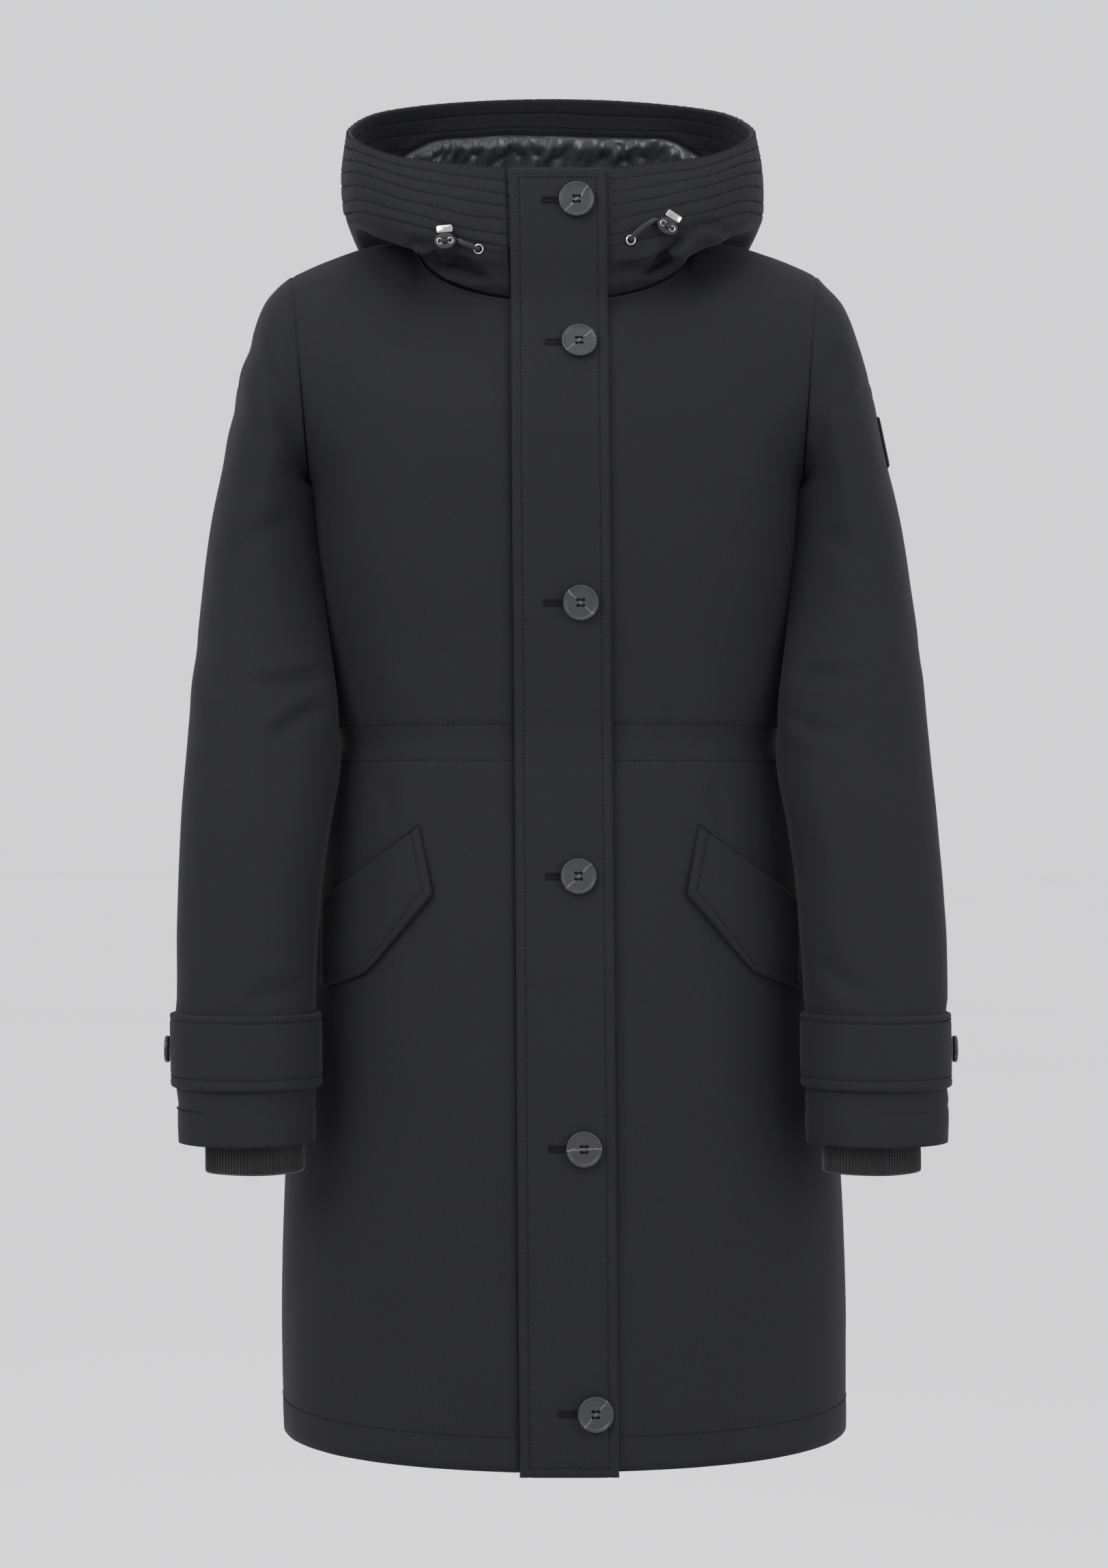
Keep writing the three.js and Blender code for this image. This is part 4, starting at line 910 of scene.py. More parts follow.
# %% Hood wall
near_placket = (hood_turns < 40) & (hood_turns > COVERED_FROM)
beside_placket = np.where(near_placket, smooth_step((hood_turns - COVERED_TO) / 10), 1.0)
quilt = (1.3 * channel - 0.45) * in_band + 0.62 * pucker
hood_soft = 1.2 * soft_noise(hood_grid, 48, 205) + 0.5 * soft_noise(hood_grid, 20, 206)
below_band = (1 - in_band) * smooth_step(hood_places / 1.2)[:, None]
hood_moved = quilt * beside_placket[None, :] + hood_soft * (0.35 * in_band + below_band)
hood_creases = crease_depth(hood_grid, on_hood=True) * smooth_step(hood_places / 0.9)[:, None]
hood_moved += hood_creases
hood_moved -= 0.9 * np.exp(-(hood_places / 0.12) ** 2)[:, None]
hood_outer = hood_grid + hood_normals * hood_moved[..., None]
facing_quilt = 0.9 * (in_band * channel * (band_place[:, None] > 3))
inner_moved = -HOOD_CLOTH - facing_quilt + 0.5 * pucker * in_band
facing_edge = hood_places[:, None] - lining_edge(hood_turns)[None, :] - 0.05
inner_moved -= 1.2 * np.exp(-((facing_edge - 0.1) / 0.14) ** 2)
inner_moved += np.minimum(hood_creases, 0)
hood_inner = hood_grid + hood_normals * inner_moved[..., None]
hood = wall_object("hood", hood_outer, hood_inner, [SHELL])
clothe(hood, "hood", slot="shell_fabric", flat=(1.027, 0.477), area=0.19)
tell_size("hood", hood_grid)

# %% [markdown]
# Inside the hood, below the quilted facing, lies a thin shiny lining. It is cut fuller than
# the shell and gathered into the facing, so it stands in upright folds with sharp lights.

# %% Hood lining
# one place of the hood is about 31 mm high where the lining shows
LINING_LOW, PLACE_HIGH = 4.0, 31
LINING_SEAMS = (148, -152)
fine_place = np.linspace(0, len(hood_turns) - 1, 430 // FINE)


def finer(values):
    """Reads one row of the hood, or a grid of points, at closer columns."""
    own = np.arange(values.shape[-1] if values.ndim == 1 else values.shape[1])
    if values.ndim == 1:
        return np.interp(fine_place, own, values)
    axes = [[np.interp(fine_place, own, row[:, axis]) for row in values] for axis in range(3)]
    return np.stack(axes, -1)


fine_turns = signed(finer(np.where(hood_turns < COVERED_FROM, hood_turns + 360, hood_turns)))
lining_top = lining_edge(fine_turns)[None, :]
lining_share = np.linspace(0, 1, 44 // FINE)[:, None]
lining_places = LINING_LOW + (lining_top - LINING_LOW) * lining_share
lining_base = at_places(finer(hood_grid), lining_places)
lining_normals = at_places(finer(hood_normals), lining_places)
lining_s = finer(rows_s[0])[None, :] + 0 * lining_places
drop = (lining_top - lining_places) * PLACE_HIGH
folds = uneven(lining_s + 0.30 * drop, 36, 301) + 0.6 * uneven(lining_s - 0.45 * drop, 17, 302)
pleats = uneven(lining_s + 0.8 * drop, 7, 305) * np.exp(-drop / 9)
upright = np.stack([lining_s, drop * 0.28, 0 * drop], -1)
crumple = soft_noise(upright, 9, 303) + 0.5 * soft_noise(upright + 50, 4.5, 304)
gather = 0.5 + 0.5 * np.exp(-drop / 26)
depth = 3.2 + 5.2 * np.abs(folds) ** 0.9 * gather + 0.15 * crumple + 0.2 * pleats
for seam_turn in LINING_SEAMS:
    away = np.abs(fine_turns - seam_turn)
    depth = depth - (3.0 * np.exp(-(away / 1.3) ** 2))[None, :]
depth = np.maximum(depth, 1.0) * np.sqrt(np.clip(drop / 7, 0, 1))
lining_out = lining_base - lining_normals * (HOOD_CLOTH + 0.3 + depth)[..., None]
lining_in = lining_base - lining_normals * (HOOD_CLOTH + 1.1 + depth)[..., None]
lining = wall_object("hood_lining", lining_out, lining_in, [LINING])
clothe(lining, "hood_lining", slot="lining_nylon", flat=(1.035, 0.173), area=0.057)
tell_size("hood lining", lining_out)

# %% [markdown]
# Everything that lies on the coat is set on the finished skins. A feeler drops a ray from the
# front and reads the place and the lie of the cloth there, as a maker's hand would.

# %% Feeling the cloth
IN_FRONT = -400.0


def feeler(*grids):
    """A search tree of the given skins, which rays can be dropped on."""
    points, faces, start = [], [], 0
    for grid in grids:
        rows, width = grid.shape[:2]
        number = np.arange(rows * width).reshape(rows, width) + start
        quads = np.stack([number[:-1, :-1], number[:-1, 1:], number[1:, 1:], number[1:, :-1]], -1)
        points += grid.reshape(-1, 3).tolist()
        faces += quads.reshape(-1, 4).tolist()
        start += rows * width
    return BVHTree.FromPolygons(points, faces)


def touch(tree, x, z, step=3.0):
    """Place and outward normal of the cloth that is seen from the front at x and z."""
    def reach(px, pz):
        hit = tree.ray_cast((px, IN_FRONT, pz), (0, 1, 0))[0]
        return None if hit is None else np.array(hit)

    middle = reach(x, z)
    if middle is None:
        return None, None
    sides = [reach(x + dx, z + dz) for dx, dz in ((step, 0), (-step, 0), (0, step), (0, -step))]
    east, west, north, south = [middle if p is None else p for p in sides]
    normal = np.cross(east - west, north - south)
    return middle, normal / np.linalg.norm(normal)


front_feel = feeler(left_skin, right_skin)
hood_feel = feeler(hood_outer)
print("cloth at the chest:", touch(front_feel, 90, -250)[0].round(1))

# %% [markdown]
# The placket is a doubled strip with turned edges, sewn down its left side and lying over
# the left front and the hood. It bridges small hollows, so its base reads the cloth at
# widely spaced heights and runs smoothly between them.

# %% Placket
PLACKET_HEIGHTS = np.array([
    -880, -835, -760, -680, -600, -530, -465, -420, -396, -374, -352, -300, -245, -185,
    -152, -120, -88, -60, -40, -16, 8, 30, PLACKET_TOP], dtype=float)
PLACKET_FRACTIONS = np.array([0, 0.2, 0.5, 0.8, 1.0])
PLACKET_WIDE = PLACKET_RIGHT - PLACKET_LEFT
PLACKET_ROUND = 2.2
placket_feel = feeler(left_grid, hood_grid)


def placket_depth(fraction, z):
    """How far to the front the cloth under the placket comes near a place."""
    x = PLACKET_LEFT + PLACKET_WIDE * fraction + float(lean(z))
    found = []
    for dx in (-6, 0, 6):
        for dz in (-6, 0, 6):
            start = (max(x + dx, UNDERLAP + float(lean(z)) + 1), IN_FRONT, z + dz)
            hit = placket_feel.ray_cast(start, (0, 1, 0))[0]
            if hit is not None and hit[1] < 0:
                found.append(hit[1])
    return min(found)


def rounded_edge(near, radius):
    """Drops the cloth by a quarter circle over the last radius mm before an edge."""
    return radius * np.sqrt(np.clip(1 - (1 - np.clip(near / radius, 0, 1)) ** 2, 0, 1)) - radius


def stitch_groove(distance, width):
    """The trough that a row of stitches pulls into the cloth, from 0 to 1 deep."""
    return np.exp(-(distance / width) ** 2)


placket_base = np.array([[placket_depth(f, z) for f in PLACKET_FRACTIONS] for z in PLACKET_HEIGHTS])
strip_z = np.concatenate([
    PLACKET_BOTTOM + np.array([0, 0.4, 1.2, 2.4]), np.arange(PLACKET_BOTTOM + 4, 35, 3.0 * FINE),
    PLACKET_TOP - np.array([0.8, 0.3, 0])])
edge_steps = np.array([0, 0.35, 0.9, 1.8, 3.0])
strip_x = np.unique(np.concatenate([
    edge_steps, np.linspace(3, PLACKET_WIDE - 3, 34 // FINE), PLACKET_WIDE - edge_steps]))
smoothing = np.exp(-np.linspace(-2, 2, 13) ** 2)
smoothing /= smoothing.sum()
depth_columns = []
for column in placket_base.T:
    along_strip = np.interp(strip_z, PLACKET_HEIGHTS, column)
    depth_columns.append(np.convolve(np.pad(along_strip, 6, mode="edge"), smoothing, mode="valid"))
strip_y = np.array([np.interp(strip_x / PLACKET_WIDE, PLACKET_FRACTIONS, row)
                    for row in np.array(depth_columns).T])
strip_grid = np.stack([
    PLACKET_LEFT + strip_x[None, :] + lean(strip_z)[:, None], strip_y,
    strip_z[:, None] + 0 * strip_x[None, :]], axis=-1)
print("placket:", strip_grid.shape[0], "rows of", strip_grid.shape[1], "points")

# %% [markdown]
# On that base the strip gets its thickness, rounded edges, a groove under each row of
# topstitching, a low ridge where the turned edge lies, and a gentle unevenness.

# %% Placket wall
edge_left, edge_right = strip_x[None, :], PLACKET_WIDE - strip_x[None, :]
edge_low, edge_high = strip_z[:, None] - PLACKET_BOTTOM, PLACKET_TOP - strip_z[:, None]
nearest_edge = np.minimum(np.minimum(edge_left, edge_right), np.minimum(edge_low, edge_high))
grooves = sum(stitch_groove(d - TOPSTITCH, 1.3) for d in (edge_left, edge_right, edge_low, edge_high))
raised_hem = 0.35 * np.exp(-((nearest_edge - 3.4) / 2.2) ** 2)
lie = strip_grid * [1, 1, 0.7]
gentle = 0.55 * soft_noise(lie, 60, 401) + 0.22 * soft_noise(lie, 22, 402)
strip_out = (PLACKET_THICK + 1.1 + rounded_edge(nearest_edge, PLACKET_ROUND)
             - 0.8 * np.clip(grooves, 0, 1) + raised_hem + gentle)
placket_outer = strip_grid - np.array([0, 1, 0]) * strip_out[..., None]
placket_inner = strip_grid - np.array([0, 1, 0]) * 0.7
placket = wall_object("placket", placket_outer, placket_inner, [SHELL, SHELL_INSIDE], inside_slot=1)
clothe(placket, "placket", slot="shell_fabric", flat=(0.073, 0.935), area=0.068, held="stretched")
placket_skin = feeler(placket_outer)
tell_size("placket", placket_outer)

# %% [markdown]
# Each pocket flap is sewn along its slanted top edge and hangs free below, so it stands off
# a little more towards its point. Its edges are turned and topstitched.

# %% Pocket flaps
LAY_STAND = 0.9
FLAP_ROUND = 2.0


def flap_corner(name):
    """x and z of a corner of the left flap, without the lean."""
    return np.array(FLAP[name], dtype=float)


def edge_distance(x, z, start, end):
    """Distance in mm from points to the line through two corners."""
    along = end - start
    return np.abs((x - start[0]) * along[1] - (z - start[1]) * along[0]) / np.hypot(*along)


def flap_places():
    """x and z of every point of a flap, and how far along and down the flap it is."""
    u = np.unique(np.concatenate([
        [0, 0.012, 0.03, 0.06], np.linspace(0.08, 0.92, 44 // FINE), [0.94, 0.97, 0.988, 1]]))
    v = np.unique(np.concatenate([
        [0, 0.02, 0.05], np.linspace(0.08, 0.92, 38 // FINE), [0.95, 0.98, 0.992, 1]]))
    top_inner, top_outer = flap_corner("top_inner"), flap_corner("top_outer")
    low_inner, point, low_outer = flap_corner("low_inner"), flap_corner("point"), flap_corner("low_outer")
    along = u[:, None]
    top = top_inner + (top_outer - top_inner) * along
    low = np.where(along < 0.5, low_inner + (point - low_inner) * 2 * along,
                   point + (low_outer - point) * (2 * along - 1))
    softened_point = np.exp(-((u - 0.5) / 0.07) ** 2) * 1.4
    low = low + np.stack([0 * u, softened_point], -1)
    flat = (top[None] + (low - top)[None] * v[:, None, None])[::-1]
    return flat[..., 0], flat[..., 1], u[None, :], v[::-1][:, None]


def make_flap(name, side):
    """A flap that lies on the front's skin; gives back a feeler for its own stitches."""
    x, z, along, down = flap_places()
    base = np.zeros(x.shape + (3,))
    facing = np.zeros_like(base)
    for r in range(x.shape[0]):
        for c in range(x.shape[1]):
            px = side * x[r, c] + float(lean(z[r, c]))
            base[r, c], facing[r, c] = touch(front_feel, px, z[r, c], 5.0)
    top_inner, top_outer = flap_corner("top_inner"), flap_corner("top_outer")
    low_inner, point, low_outer = flap_corner("low_inner"), flap_corner("point"), flap_corner("low_outer")
    inner_edge = edge_distance(x, z, top_inner, low_inner)
    low_edge = np.where(along < 0.5, edge_distance(x, z, low_inner, point),
                        edge_distance(x, z, point, low_outer))
    sewn_edge = edge_distance(x, z, top_inner, top_outer)
    near = np.minimum(np.minimum(inner_edge, low_edge), np.minimum(sewn_edge, top_outer[0] - x))
    groove = stitch_groove(inner_edge - TOPSTITCH, 1.3) + stitch_groove(low_edge - TOPSTITCH, 1.3)
    raised_hem = 0.3 * np.exp(-((near - 3.6) / 2) ** 2)
    hang = FLAP["lift"] * down * (1 - 0.7 * along)
    curl = 1.6 * down ** 3 * (1 - along)
    lie = 0.7 * soft_noise(base, 34, 420 + side) * down
    under = LAY_STAND + hang + curl * 0.6 + 0.3 * lie
    over = (under + FLAP["thick"] + rounded_edge(near, FLAP_ROUND)
            - 0.85 * np.clip(groove, 0, 1) + 0.5 * lie + raised_hem)
    outer = base + facing * over[..., None]
    inner = base + facing * under[..., None]
    if side < 0:
        outer, inner = outer[:, ::-1], inner[:, ::-1]
    thing = wall_object(name, outer, inner, [SHELL])
    clothe(thing, name, slot="shell_fabric", flat=(0.127, 0.079), area=0.0073)
    tell_size(name, outer)
    return feeler(outer)


flap_left_feel = make_flap("pocket_flap_left", 1)
flap_right_feel = make_flap("pocket_flap_right", -1)

# %% [markdown]
# A strap runs round each cuff and the rib knit shows below the sleeve. Its ribs are fine
# cords that run down the tube, about a hundred round the wrist, and its lower edge is folded.

# %% Straps and rib cuffs
def place_at(z):
    """Place of a height in the sleeve's table, on its outer edge."""
    heights = SLEEVE[:, 2]
    k = int(np.argmax(heights <= z))
    return k - 1 + (heights[k - 1] - z) / (heights[k - 1] - heights[k])


def ring_at(side, z, turns):
    """A ring of the sleeve at a height, its middle, and the level way out at each point."""
    place = place_at(z)
    ring = sleeve_point(side, place, turns)
    middle = (sleeve_point(side, place, 0.0) + sleeve_point(side, place, 0.5)) / 2
    away = ring - middle
    away[..., 2] = 0
    return ring, middle, away / np.linalg.norm(away, axis=-1, keepdims=True)


def make_strap(name, side):
    """A flat band round the sleeve, rounded and stitched along both edges."""
    turns = np.linspace(0, 1, 120 // FINE, endpoint=False)
    if side < 0:
        turns = turns[::-1]
    edge_steps = np.array([0, 0.3, 0.9, 1.8])
    heights = np.unique(np.concatenate([
        STRAP_TOP - edge_steps, STRAP_BOTTOM + edge_steps,
        np.linspace(STRAP_BOTTOM + 2.6, STRAP_TOP - 2.6, 36 // FINE)]))[::-1]
    outer, inner = [], []
    for z in heights:
        ring, _, away = ring_at(side, z, turns)
        from_top, from_bottom = STRAP_TOP - z, z - STRAP_BOTTOM
        groove = (stitch_groove(from_top - STRAP_TOP_STITCH, 1.2)
                  + stitch_groove(from_bottom - STRAP_LOW_STITCH, 1.2))
        soft = 0.5 * soft_noise(ring, 30, 440 + side)
        rounded = rounded_edge(min(from_top, from_bottom), 2.0)
        out = STRAP_GAP + STRAP_THICK + rounded - 0.8 * groove + soft
        outer.append(ring + away * out[:, None])
        inner.append(ring + away * 0.4)
    outer, inner = np.array(outer), np.array(inner)
    thing = wall_object(name, outer, inner, [SHELL], closed=True)
    clothe(thing, name, slot="shell_fabric", flat=(0.331, 0.055), area=0.0179)
    tell_size(name, outer)


RIBS = 96 if FINE == 1 else 48
RIB_FOLD, RIB_JOIN, RIB_WAVES, RIB_INWARD = 1.6, -638, -640, 5
RIB_STEPS = np.array([0, 5, 10, 18, 26, 34, 42, 50, 56, 61, 65, 68.5, 71, 72.8, 73.7, 74])


def make_rib(name, side):
    """A ribbed tube that widens at the top to meet the inside of the sleeve."""
    turns = np.linspace(0, 1, RIBS * 5, endpoint=False)
    if side < 0:
        turns = turns[::-1]
    angle = 2 * np.pi * turns
    cords = 0.5 + 0.5 * np.cos(2 * np.pi * RIBS * turns)
    last = len(SLEEVE) - 1
    hem = (sleeve_point(side, float(last), 0.0) + sleeve_point(side, float(last), 0.5)) / 2
    outer, inner = [], []
    for z in RIB_TOP - RIB_STEPS:
        flare = float(smooth_step((z - RIB_JOIN) / 24))
        ring, middle, away = ring_at(side, max(z, SLEEVE[-1, 2]), turns)
        reach = np.linalg.norm((ring - middle)[:, :2], axis=-1) - CLOTH - 1.7
        fold = math.sqrt(1 - min(0.0, (z - RIB_BOTTOM) / RIB_FOLD - 1) ** 2)
        wave = 1.3 * np.sin(angle * 3 + side) * (1 - flare) * smooth_step((RIB_WAVES - z) / 30)
        for store, inward, raised, rolled in ((outer, 0.0, 0.9, 0.8), (inner, RIB_THICK, 0.0, -0.8)):
            rise = raised * cords * (1 - flare) * (0.3 + 0.7 * fold) - (1 - fold) * rolled
            tube_x = RIB_HALF_WIDTH - inward + rise + wave
            tube_y = RIB_HALF_DEPTH - inward + rise - wave
            x = hem[0] - side * RIB_INWARD + side * tube_x * np.cos(angle)
            y = hem[1] - tube_y * np.sin(angle)
            far_x = middle[0] + away[:, 0] * (reach - inward)
            far_y = middle[1] + away[:, 1] * (reach - inward)
            store.append(np.stack([x + (far_x - x) * flare, y + (far_y - y) * flare, z + 0 * x], -1))
    outer, inner = np.array(outer), np.array(inner)
    thing = wall_object(name, outer, inner, [KNIT], closed=True)
    clothe(thing, name, slot="rib_knit", flat=(0.235, 0.08), area=0.0187, held="stretched")
    tell_size(name, outer)


for label, side in (("left", 1), ("right", -1)):
    make_strap("cuff_strap_" + label, side)
    make_rib("rib_cuff_" + label, side)

# %% [markdown]
# A bare patch is sewn on the wearer's left upper sleeve. It follows the sleeve's surface, a
# row of stations at a time, and has a rounded edge with a groove for its seam.

# %% Sleeve patch
UPPER_SLEEVE_ROUND = 420
patch_rows = np.linspace(0.5, -0.5, 30)
patch_columns = np.linspace(-0.5, 0.5, 34)
patch_base, patch_normals = [], []
for r in patch_rows:
    place = place_at(PATCH_MIDDLE + PATCH_HIGH * r)
    turns = PATCH_WIDE * patch_columns / UPPER_SLEEVE_ROUND
    here = sleeve_point(1, place, turns)
    lower = sleeve_point(1, place + 0.1, turns)
    normal = np.cross(sleeve_point(1, place, turns + 0.01) - here, lower - here)
    patch_base.append(here)
    patch_normals.append(normal / np.linalg.norm(normal, axis=-1, keepdims=True))
patch_base, patch_normals = np.array(patch_base), np.array(patch_normals)
patch_near = np.minimum((0.5 - np.abs(patch_rows))[:, None] * PATCH_HIGH,
                        (0.5 - np.abs(patch_columns))[None, :] * PATCH_WIDE)
patch_out = 0.5 + PATCH_THICK * (0.35 + 0.65 * smooth_step(patch_near / 1.2))
patch_out = patch_out - 0.5 * np.exp(-((patch_near - 2.6) / 0.8) ** 2)
patch_top = patch_base + patch_normals * patch_out[..., None]
patch_under = patch_base + patch_normals * 0.4
patch = wall_object("sleeve_patch", patch_top, patch_under, [SHELL])
clothe(patch, "sleeve_patch", slot="shell_fabric", flat=(0.047, 0.038), area=0.0017, held="stretched")

# %% [markdown]
# The hard pieces have finishes of their own. The buttons are dark resin with a pale vein that
# wanders across them, the plates and eyelets bright metal with cloudy wear, the cord locks
# dark and half shiny, and the cord a fine braid.

# %% Button and metal materials
def resin_material():
    material, tree, shader = new_material("button resin", 0.3, specular=0.6)
    place = node(tree, "ShaderNodeUVMap", uv_map="cloth")
    shift = node(tree, "ShaderNodeTexNoise")
    shift.inputs["Scale"].default_value = 160
    shift.inputs["Detail"].default_value = 4
    tree.links.new(place.outputs[0], shift.inputs["Vector"])
    axes = node(tree, "ShaderNodeSeparateXYZ")
    tree.links.new(place.outputs[0], axes.inputs[0])
    wandering = math_node(tree, "MULTIPLY_ADD", shift.outputs["Fac"], 0.0045, -0.00225)
    off_vein = math_node(tree, "ABSOLUTE", math_node(tree, "ADD", axes.outputs[1], wandering))
    vein = math_node(tree, "SUBTRACT", 1.0, math_node(tree, "MULTIPLY", off_vein, 1900))
    vein = math_node(tree, "MULTIPLY", math_node(tree, "MAXIMUM", vein, 0.0), 0.75)
    # The slight blue-grey cast of the dark resin is partly painted reflection, standing in for the blue-grey
    # gloss of the button's face; the pale vein is the resin's own.
    colour = blend_colours(tree, vein, (0.030, 0.032, 0.038), (0.30, 0.25, 0.19))
    tree.links.new(colour, shader.inputs["Base Color"])
    vary_roughness(tree, shader, shift.outputs["Fac"], 0.24, 0.42)
    add_bump(tree, shader, shift.outputs["Fac"], 0.00008, 0.4)
    return material


def braid_material():
    material, tree, shader = new_material("braided cord", 0.75, sheen=0.3, specular=0.3)
    where = node(tree, "ShaderNodeTexCoord")
    braid = node(tree, "ShaderNodeTexVoronoi")
    braid.inputs["Scale"].default_value = 1500
    tree.links.new(where.outputs["Object"], braid.inputs["Vector"])
    colour = blend_colours(tree, braid.outputs["Distance"], (0.03, 0.03, 0.034), (0.008, 0.008, 0.009))
    tree.links.new(colour, shader.inputs["Base Color"])
    add_bump(tree, shader, braid.outputs["Distance"], 0.00008, 0.6)
    return material


RESIN = resin_material()
STEEL = mottled_material(
    "bright plate", 0.12, (0.5, 0.5, 0.5), (0.72, 0.71, 0.7), size=0.003, detail=6.0,
    bump=(0.00004, 0.5), span=(0.12, 0.3), metallic=1.0)
LOCK_BODY = mottled_material(
    "cord lock body", 0.35, (0.012, 0.012, 0.014), (0.03, 0.03, 0.034), size=0.004, detail=5.0,
    bump=(0.00006, 0.5), span=(0.28, 0.5), specular=0.5)
CORD_CLOTH = braid_material()
print("hard materials:", RESIN.name, STEEL.name, LOCK_BODY.name, CORD_CLOTH.name)

# %% [markdown]
# A button is a dished disc with a raised rim and four holes, sewn on with two bars of thread.
# It is modelled as one fine polar surface. The helpers for tubes and for turning faces
# outward come first, because every small round piece needs them.

# %% Buttons
def frame_of(normal, tilt_degrees):
    """Two axes across a seat: the first leans tilt degrees up from level."""
    up = np.array([0, 0, 1.0])
    level = np.cross(up, normal)
    level /= np.linalg.norm(level)
    level = level if level[0] >= 0 or abs(normal[0]) > 0.8 else -level
    high = np.cross(normal, level)
    high = high if high[2] > 0 else -high
    a = math.radians(tilt_degrees)
    return level * math.cos(a) + high * math.sin(a), high * math.cos(a) - level * math.sin(a)


def ring_faces(rows, sides):
    """Quads between the rings of a polar grid, as rows of four point numbers."""
    faces = []
    for i in range(rows - 1):
        for k in range(sides):
            j = (k + 1) % sides
            faces.append((i * sides + k, (i + 1) * sides + k, (i + 1) * sides + j, i * sides + j))
    return faces


def end_faces(rows, sides):
    """Triangles from the first ring to point rows * sides, and from the last to the next."""
    first, last = rows * sides, (rows - 1) * sides
    faces = []
    for k in range(sides):
        j = (k + 1) % sides
        faces.append((first, k, j))
        faces.append((first + 1, last + j, last + k))
    return faces


def tube(points, radius, sides=8):
    """Closed tube along points in mm, with round ends."""
    points = np.asarray(points, float)
    along = np.gradient(points, axis=0)
    along /= np.linalg.norm(along, axis=-1, keepdims=True)
    helper = np.array([0.3, 0.9, 0.2]) if abs(along[0][1]) < 0.8 else np.array([1.0, 0.1, 0.2])
    first = np.cross(along, helper)
    first /= np.linalg.norm(first, axis=-1, keepdims=True)
    second = np.cross(along, first)
    angle = np.linspace(0, 2 * np.pi, sides, endpoint=False)
    rings = []
    for p, f, s in zip(points, first, second):
        rings.append(p + radius * (np.cos(angle)[:, None] * f + np.sin(angle)[:, None] * s))
    # two smaller rings and a tip round off each end
    start_ring, end_ring = rings[0], rings[-1]
    for share, back in ((0.7, 0.7), (0.25, 0.97)):
        end_ring = points[-1] + along[-1] * radius * back + (end_ring - points[-1]) * share
        rings.insert(0, points[0] - along[0] * radius * back + (start_ring - points[0]) * share)
        rings.append(end_ring)
    tips = [points[:1] - along[:1] * radius, points[-1:] + along[-1:] * radius]
    faces = ring_faces(len(rings), sides) + end_faces(len(rings), sides)
    return np.vstack(rings + tips), faces


def joined(parts):
    """Joins pairs of points and faces into one pair."""
    vertices, faces, start = [], [], 0
    for v, f in parts:
        vertices.append(np.asarray(v))
        faces += [tuple(i + start for i in face) for face in f]
        start += len(v)
    return np.vstack(vertices), faces


def outward(thing):
    """Turns all faces of a closed mesh outward."""
    work = bmesh.new()
    work.from_mesh(thing.data)
    bmesh.ops.recalc_face_normals(work, faces=work.faces)
    work.to_mesh(thing.data)
    work.free()


def button_mesh(seat, normal, tilt, radius, thick, rim, lip):
    """Points, faces, UV map and thread bars of a button. The vein is turned by tilt degrees."""
    ring_count, sides = (46, 96) if FINE == 1 else (24, 48)
    radii = np.concatenate([np.linspace(0, radius - 0.5, ring_count),
                            [radius - 0.22, radius - 0.06, radius]])[1:]
    angle = np.linspace(0, 2 * np.pi, sides, endpoint=False)
    dish = thick - lip * smooth_step((radius - rim - radii) / 1.2)
    edge = np.clip((radii - (radius - 0.5)) / 0.5, 0, 1)
    dish = dish - 0.9 * (1 - np.sqrt(np.clip(1 - edge**2, 0, 1)))
    across, high = radii[:, None] * np.cos(angle), radii[:, None] * np.sin(angle)
    height = dish[:, None] + 0 * across
    hole_gap, hole_radius = 0.165 * radius, 0.085 * radius
    for hx, hy in ((1, 1), (-1, 1), (-1, -1), (1, -1)):
        away = np.hypot(across - hx * hole_gap, high - hy * hole_gap)
        height -= 2.0 * (1 - smooth_step((away - hole_radius * 0.75) / 0.35))
    a, b = frame_of(normal, 0)

    def set_on_seat(x, y, h):
        return seat + x[..., None] * a + y[..., None] * b + h[..., None] * normal

    low_radii = np.array([radius, radius - 0.5, radius * 0.5])[:, None]
    low_heights = np.array([thick * 0.45, 0.05, 0.0])[:, None] + 0 * angle
    grid = np.concatenate([
        set_on_seat(across, high, height),
        set_on_seat(low_radii * np.cos(angle), low_radii * np.sin(angle), low_heights)])
    vertices = np.vstack([grid.reshape(-1, 3), [seat + (thick - lip) * normal], [seat]])
    faces = ring_faces(len(grid), sides) + end_faces(len(grid), sides)
    turn = math.radians(tilt)
    flat_x = (vertices - seat) @ a
    flat_y = (vertices - seat) @ b
    uv = np.stack([flat_x * math.cos(turn) + flat_y * math.sin(turn) + 40 * seat[2] / 100,
                   flat_y * math.cos(turn) - flat_x * math.sin(turn)], -1)
    bars = []
    for hy in (-1, 1):
        line = [seat + hole_gap * x * a + hole_gap * hy * b + (thick - lip + h) * normal
                for x, h in ((-1.0, -1.2), (-0.8, 0.15), (0, 0.4), (0.8, 0.15), (1.0, -1.2))]
        for shift in (-0.35, 0.35):
            bars.append(tube([p + shift * b for p in line], 0.36, 6))
    return vertices, faces, uv, bars


def make_button(name, seat, normal, tilt, size):
    """Sets a button on its seat, and gives back its thread bars."""
    vertices, faces, uv, bars = button_mesh(seat, normal, tilt, **size)
    button = mesh_object(name, vertices, faces, [RESIN], uv)
    outward(button)
    clothe(button, name, slot="button")
    return bars


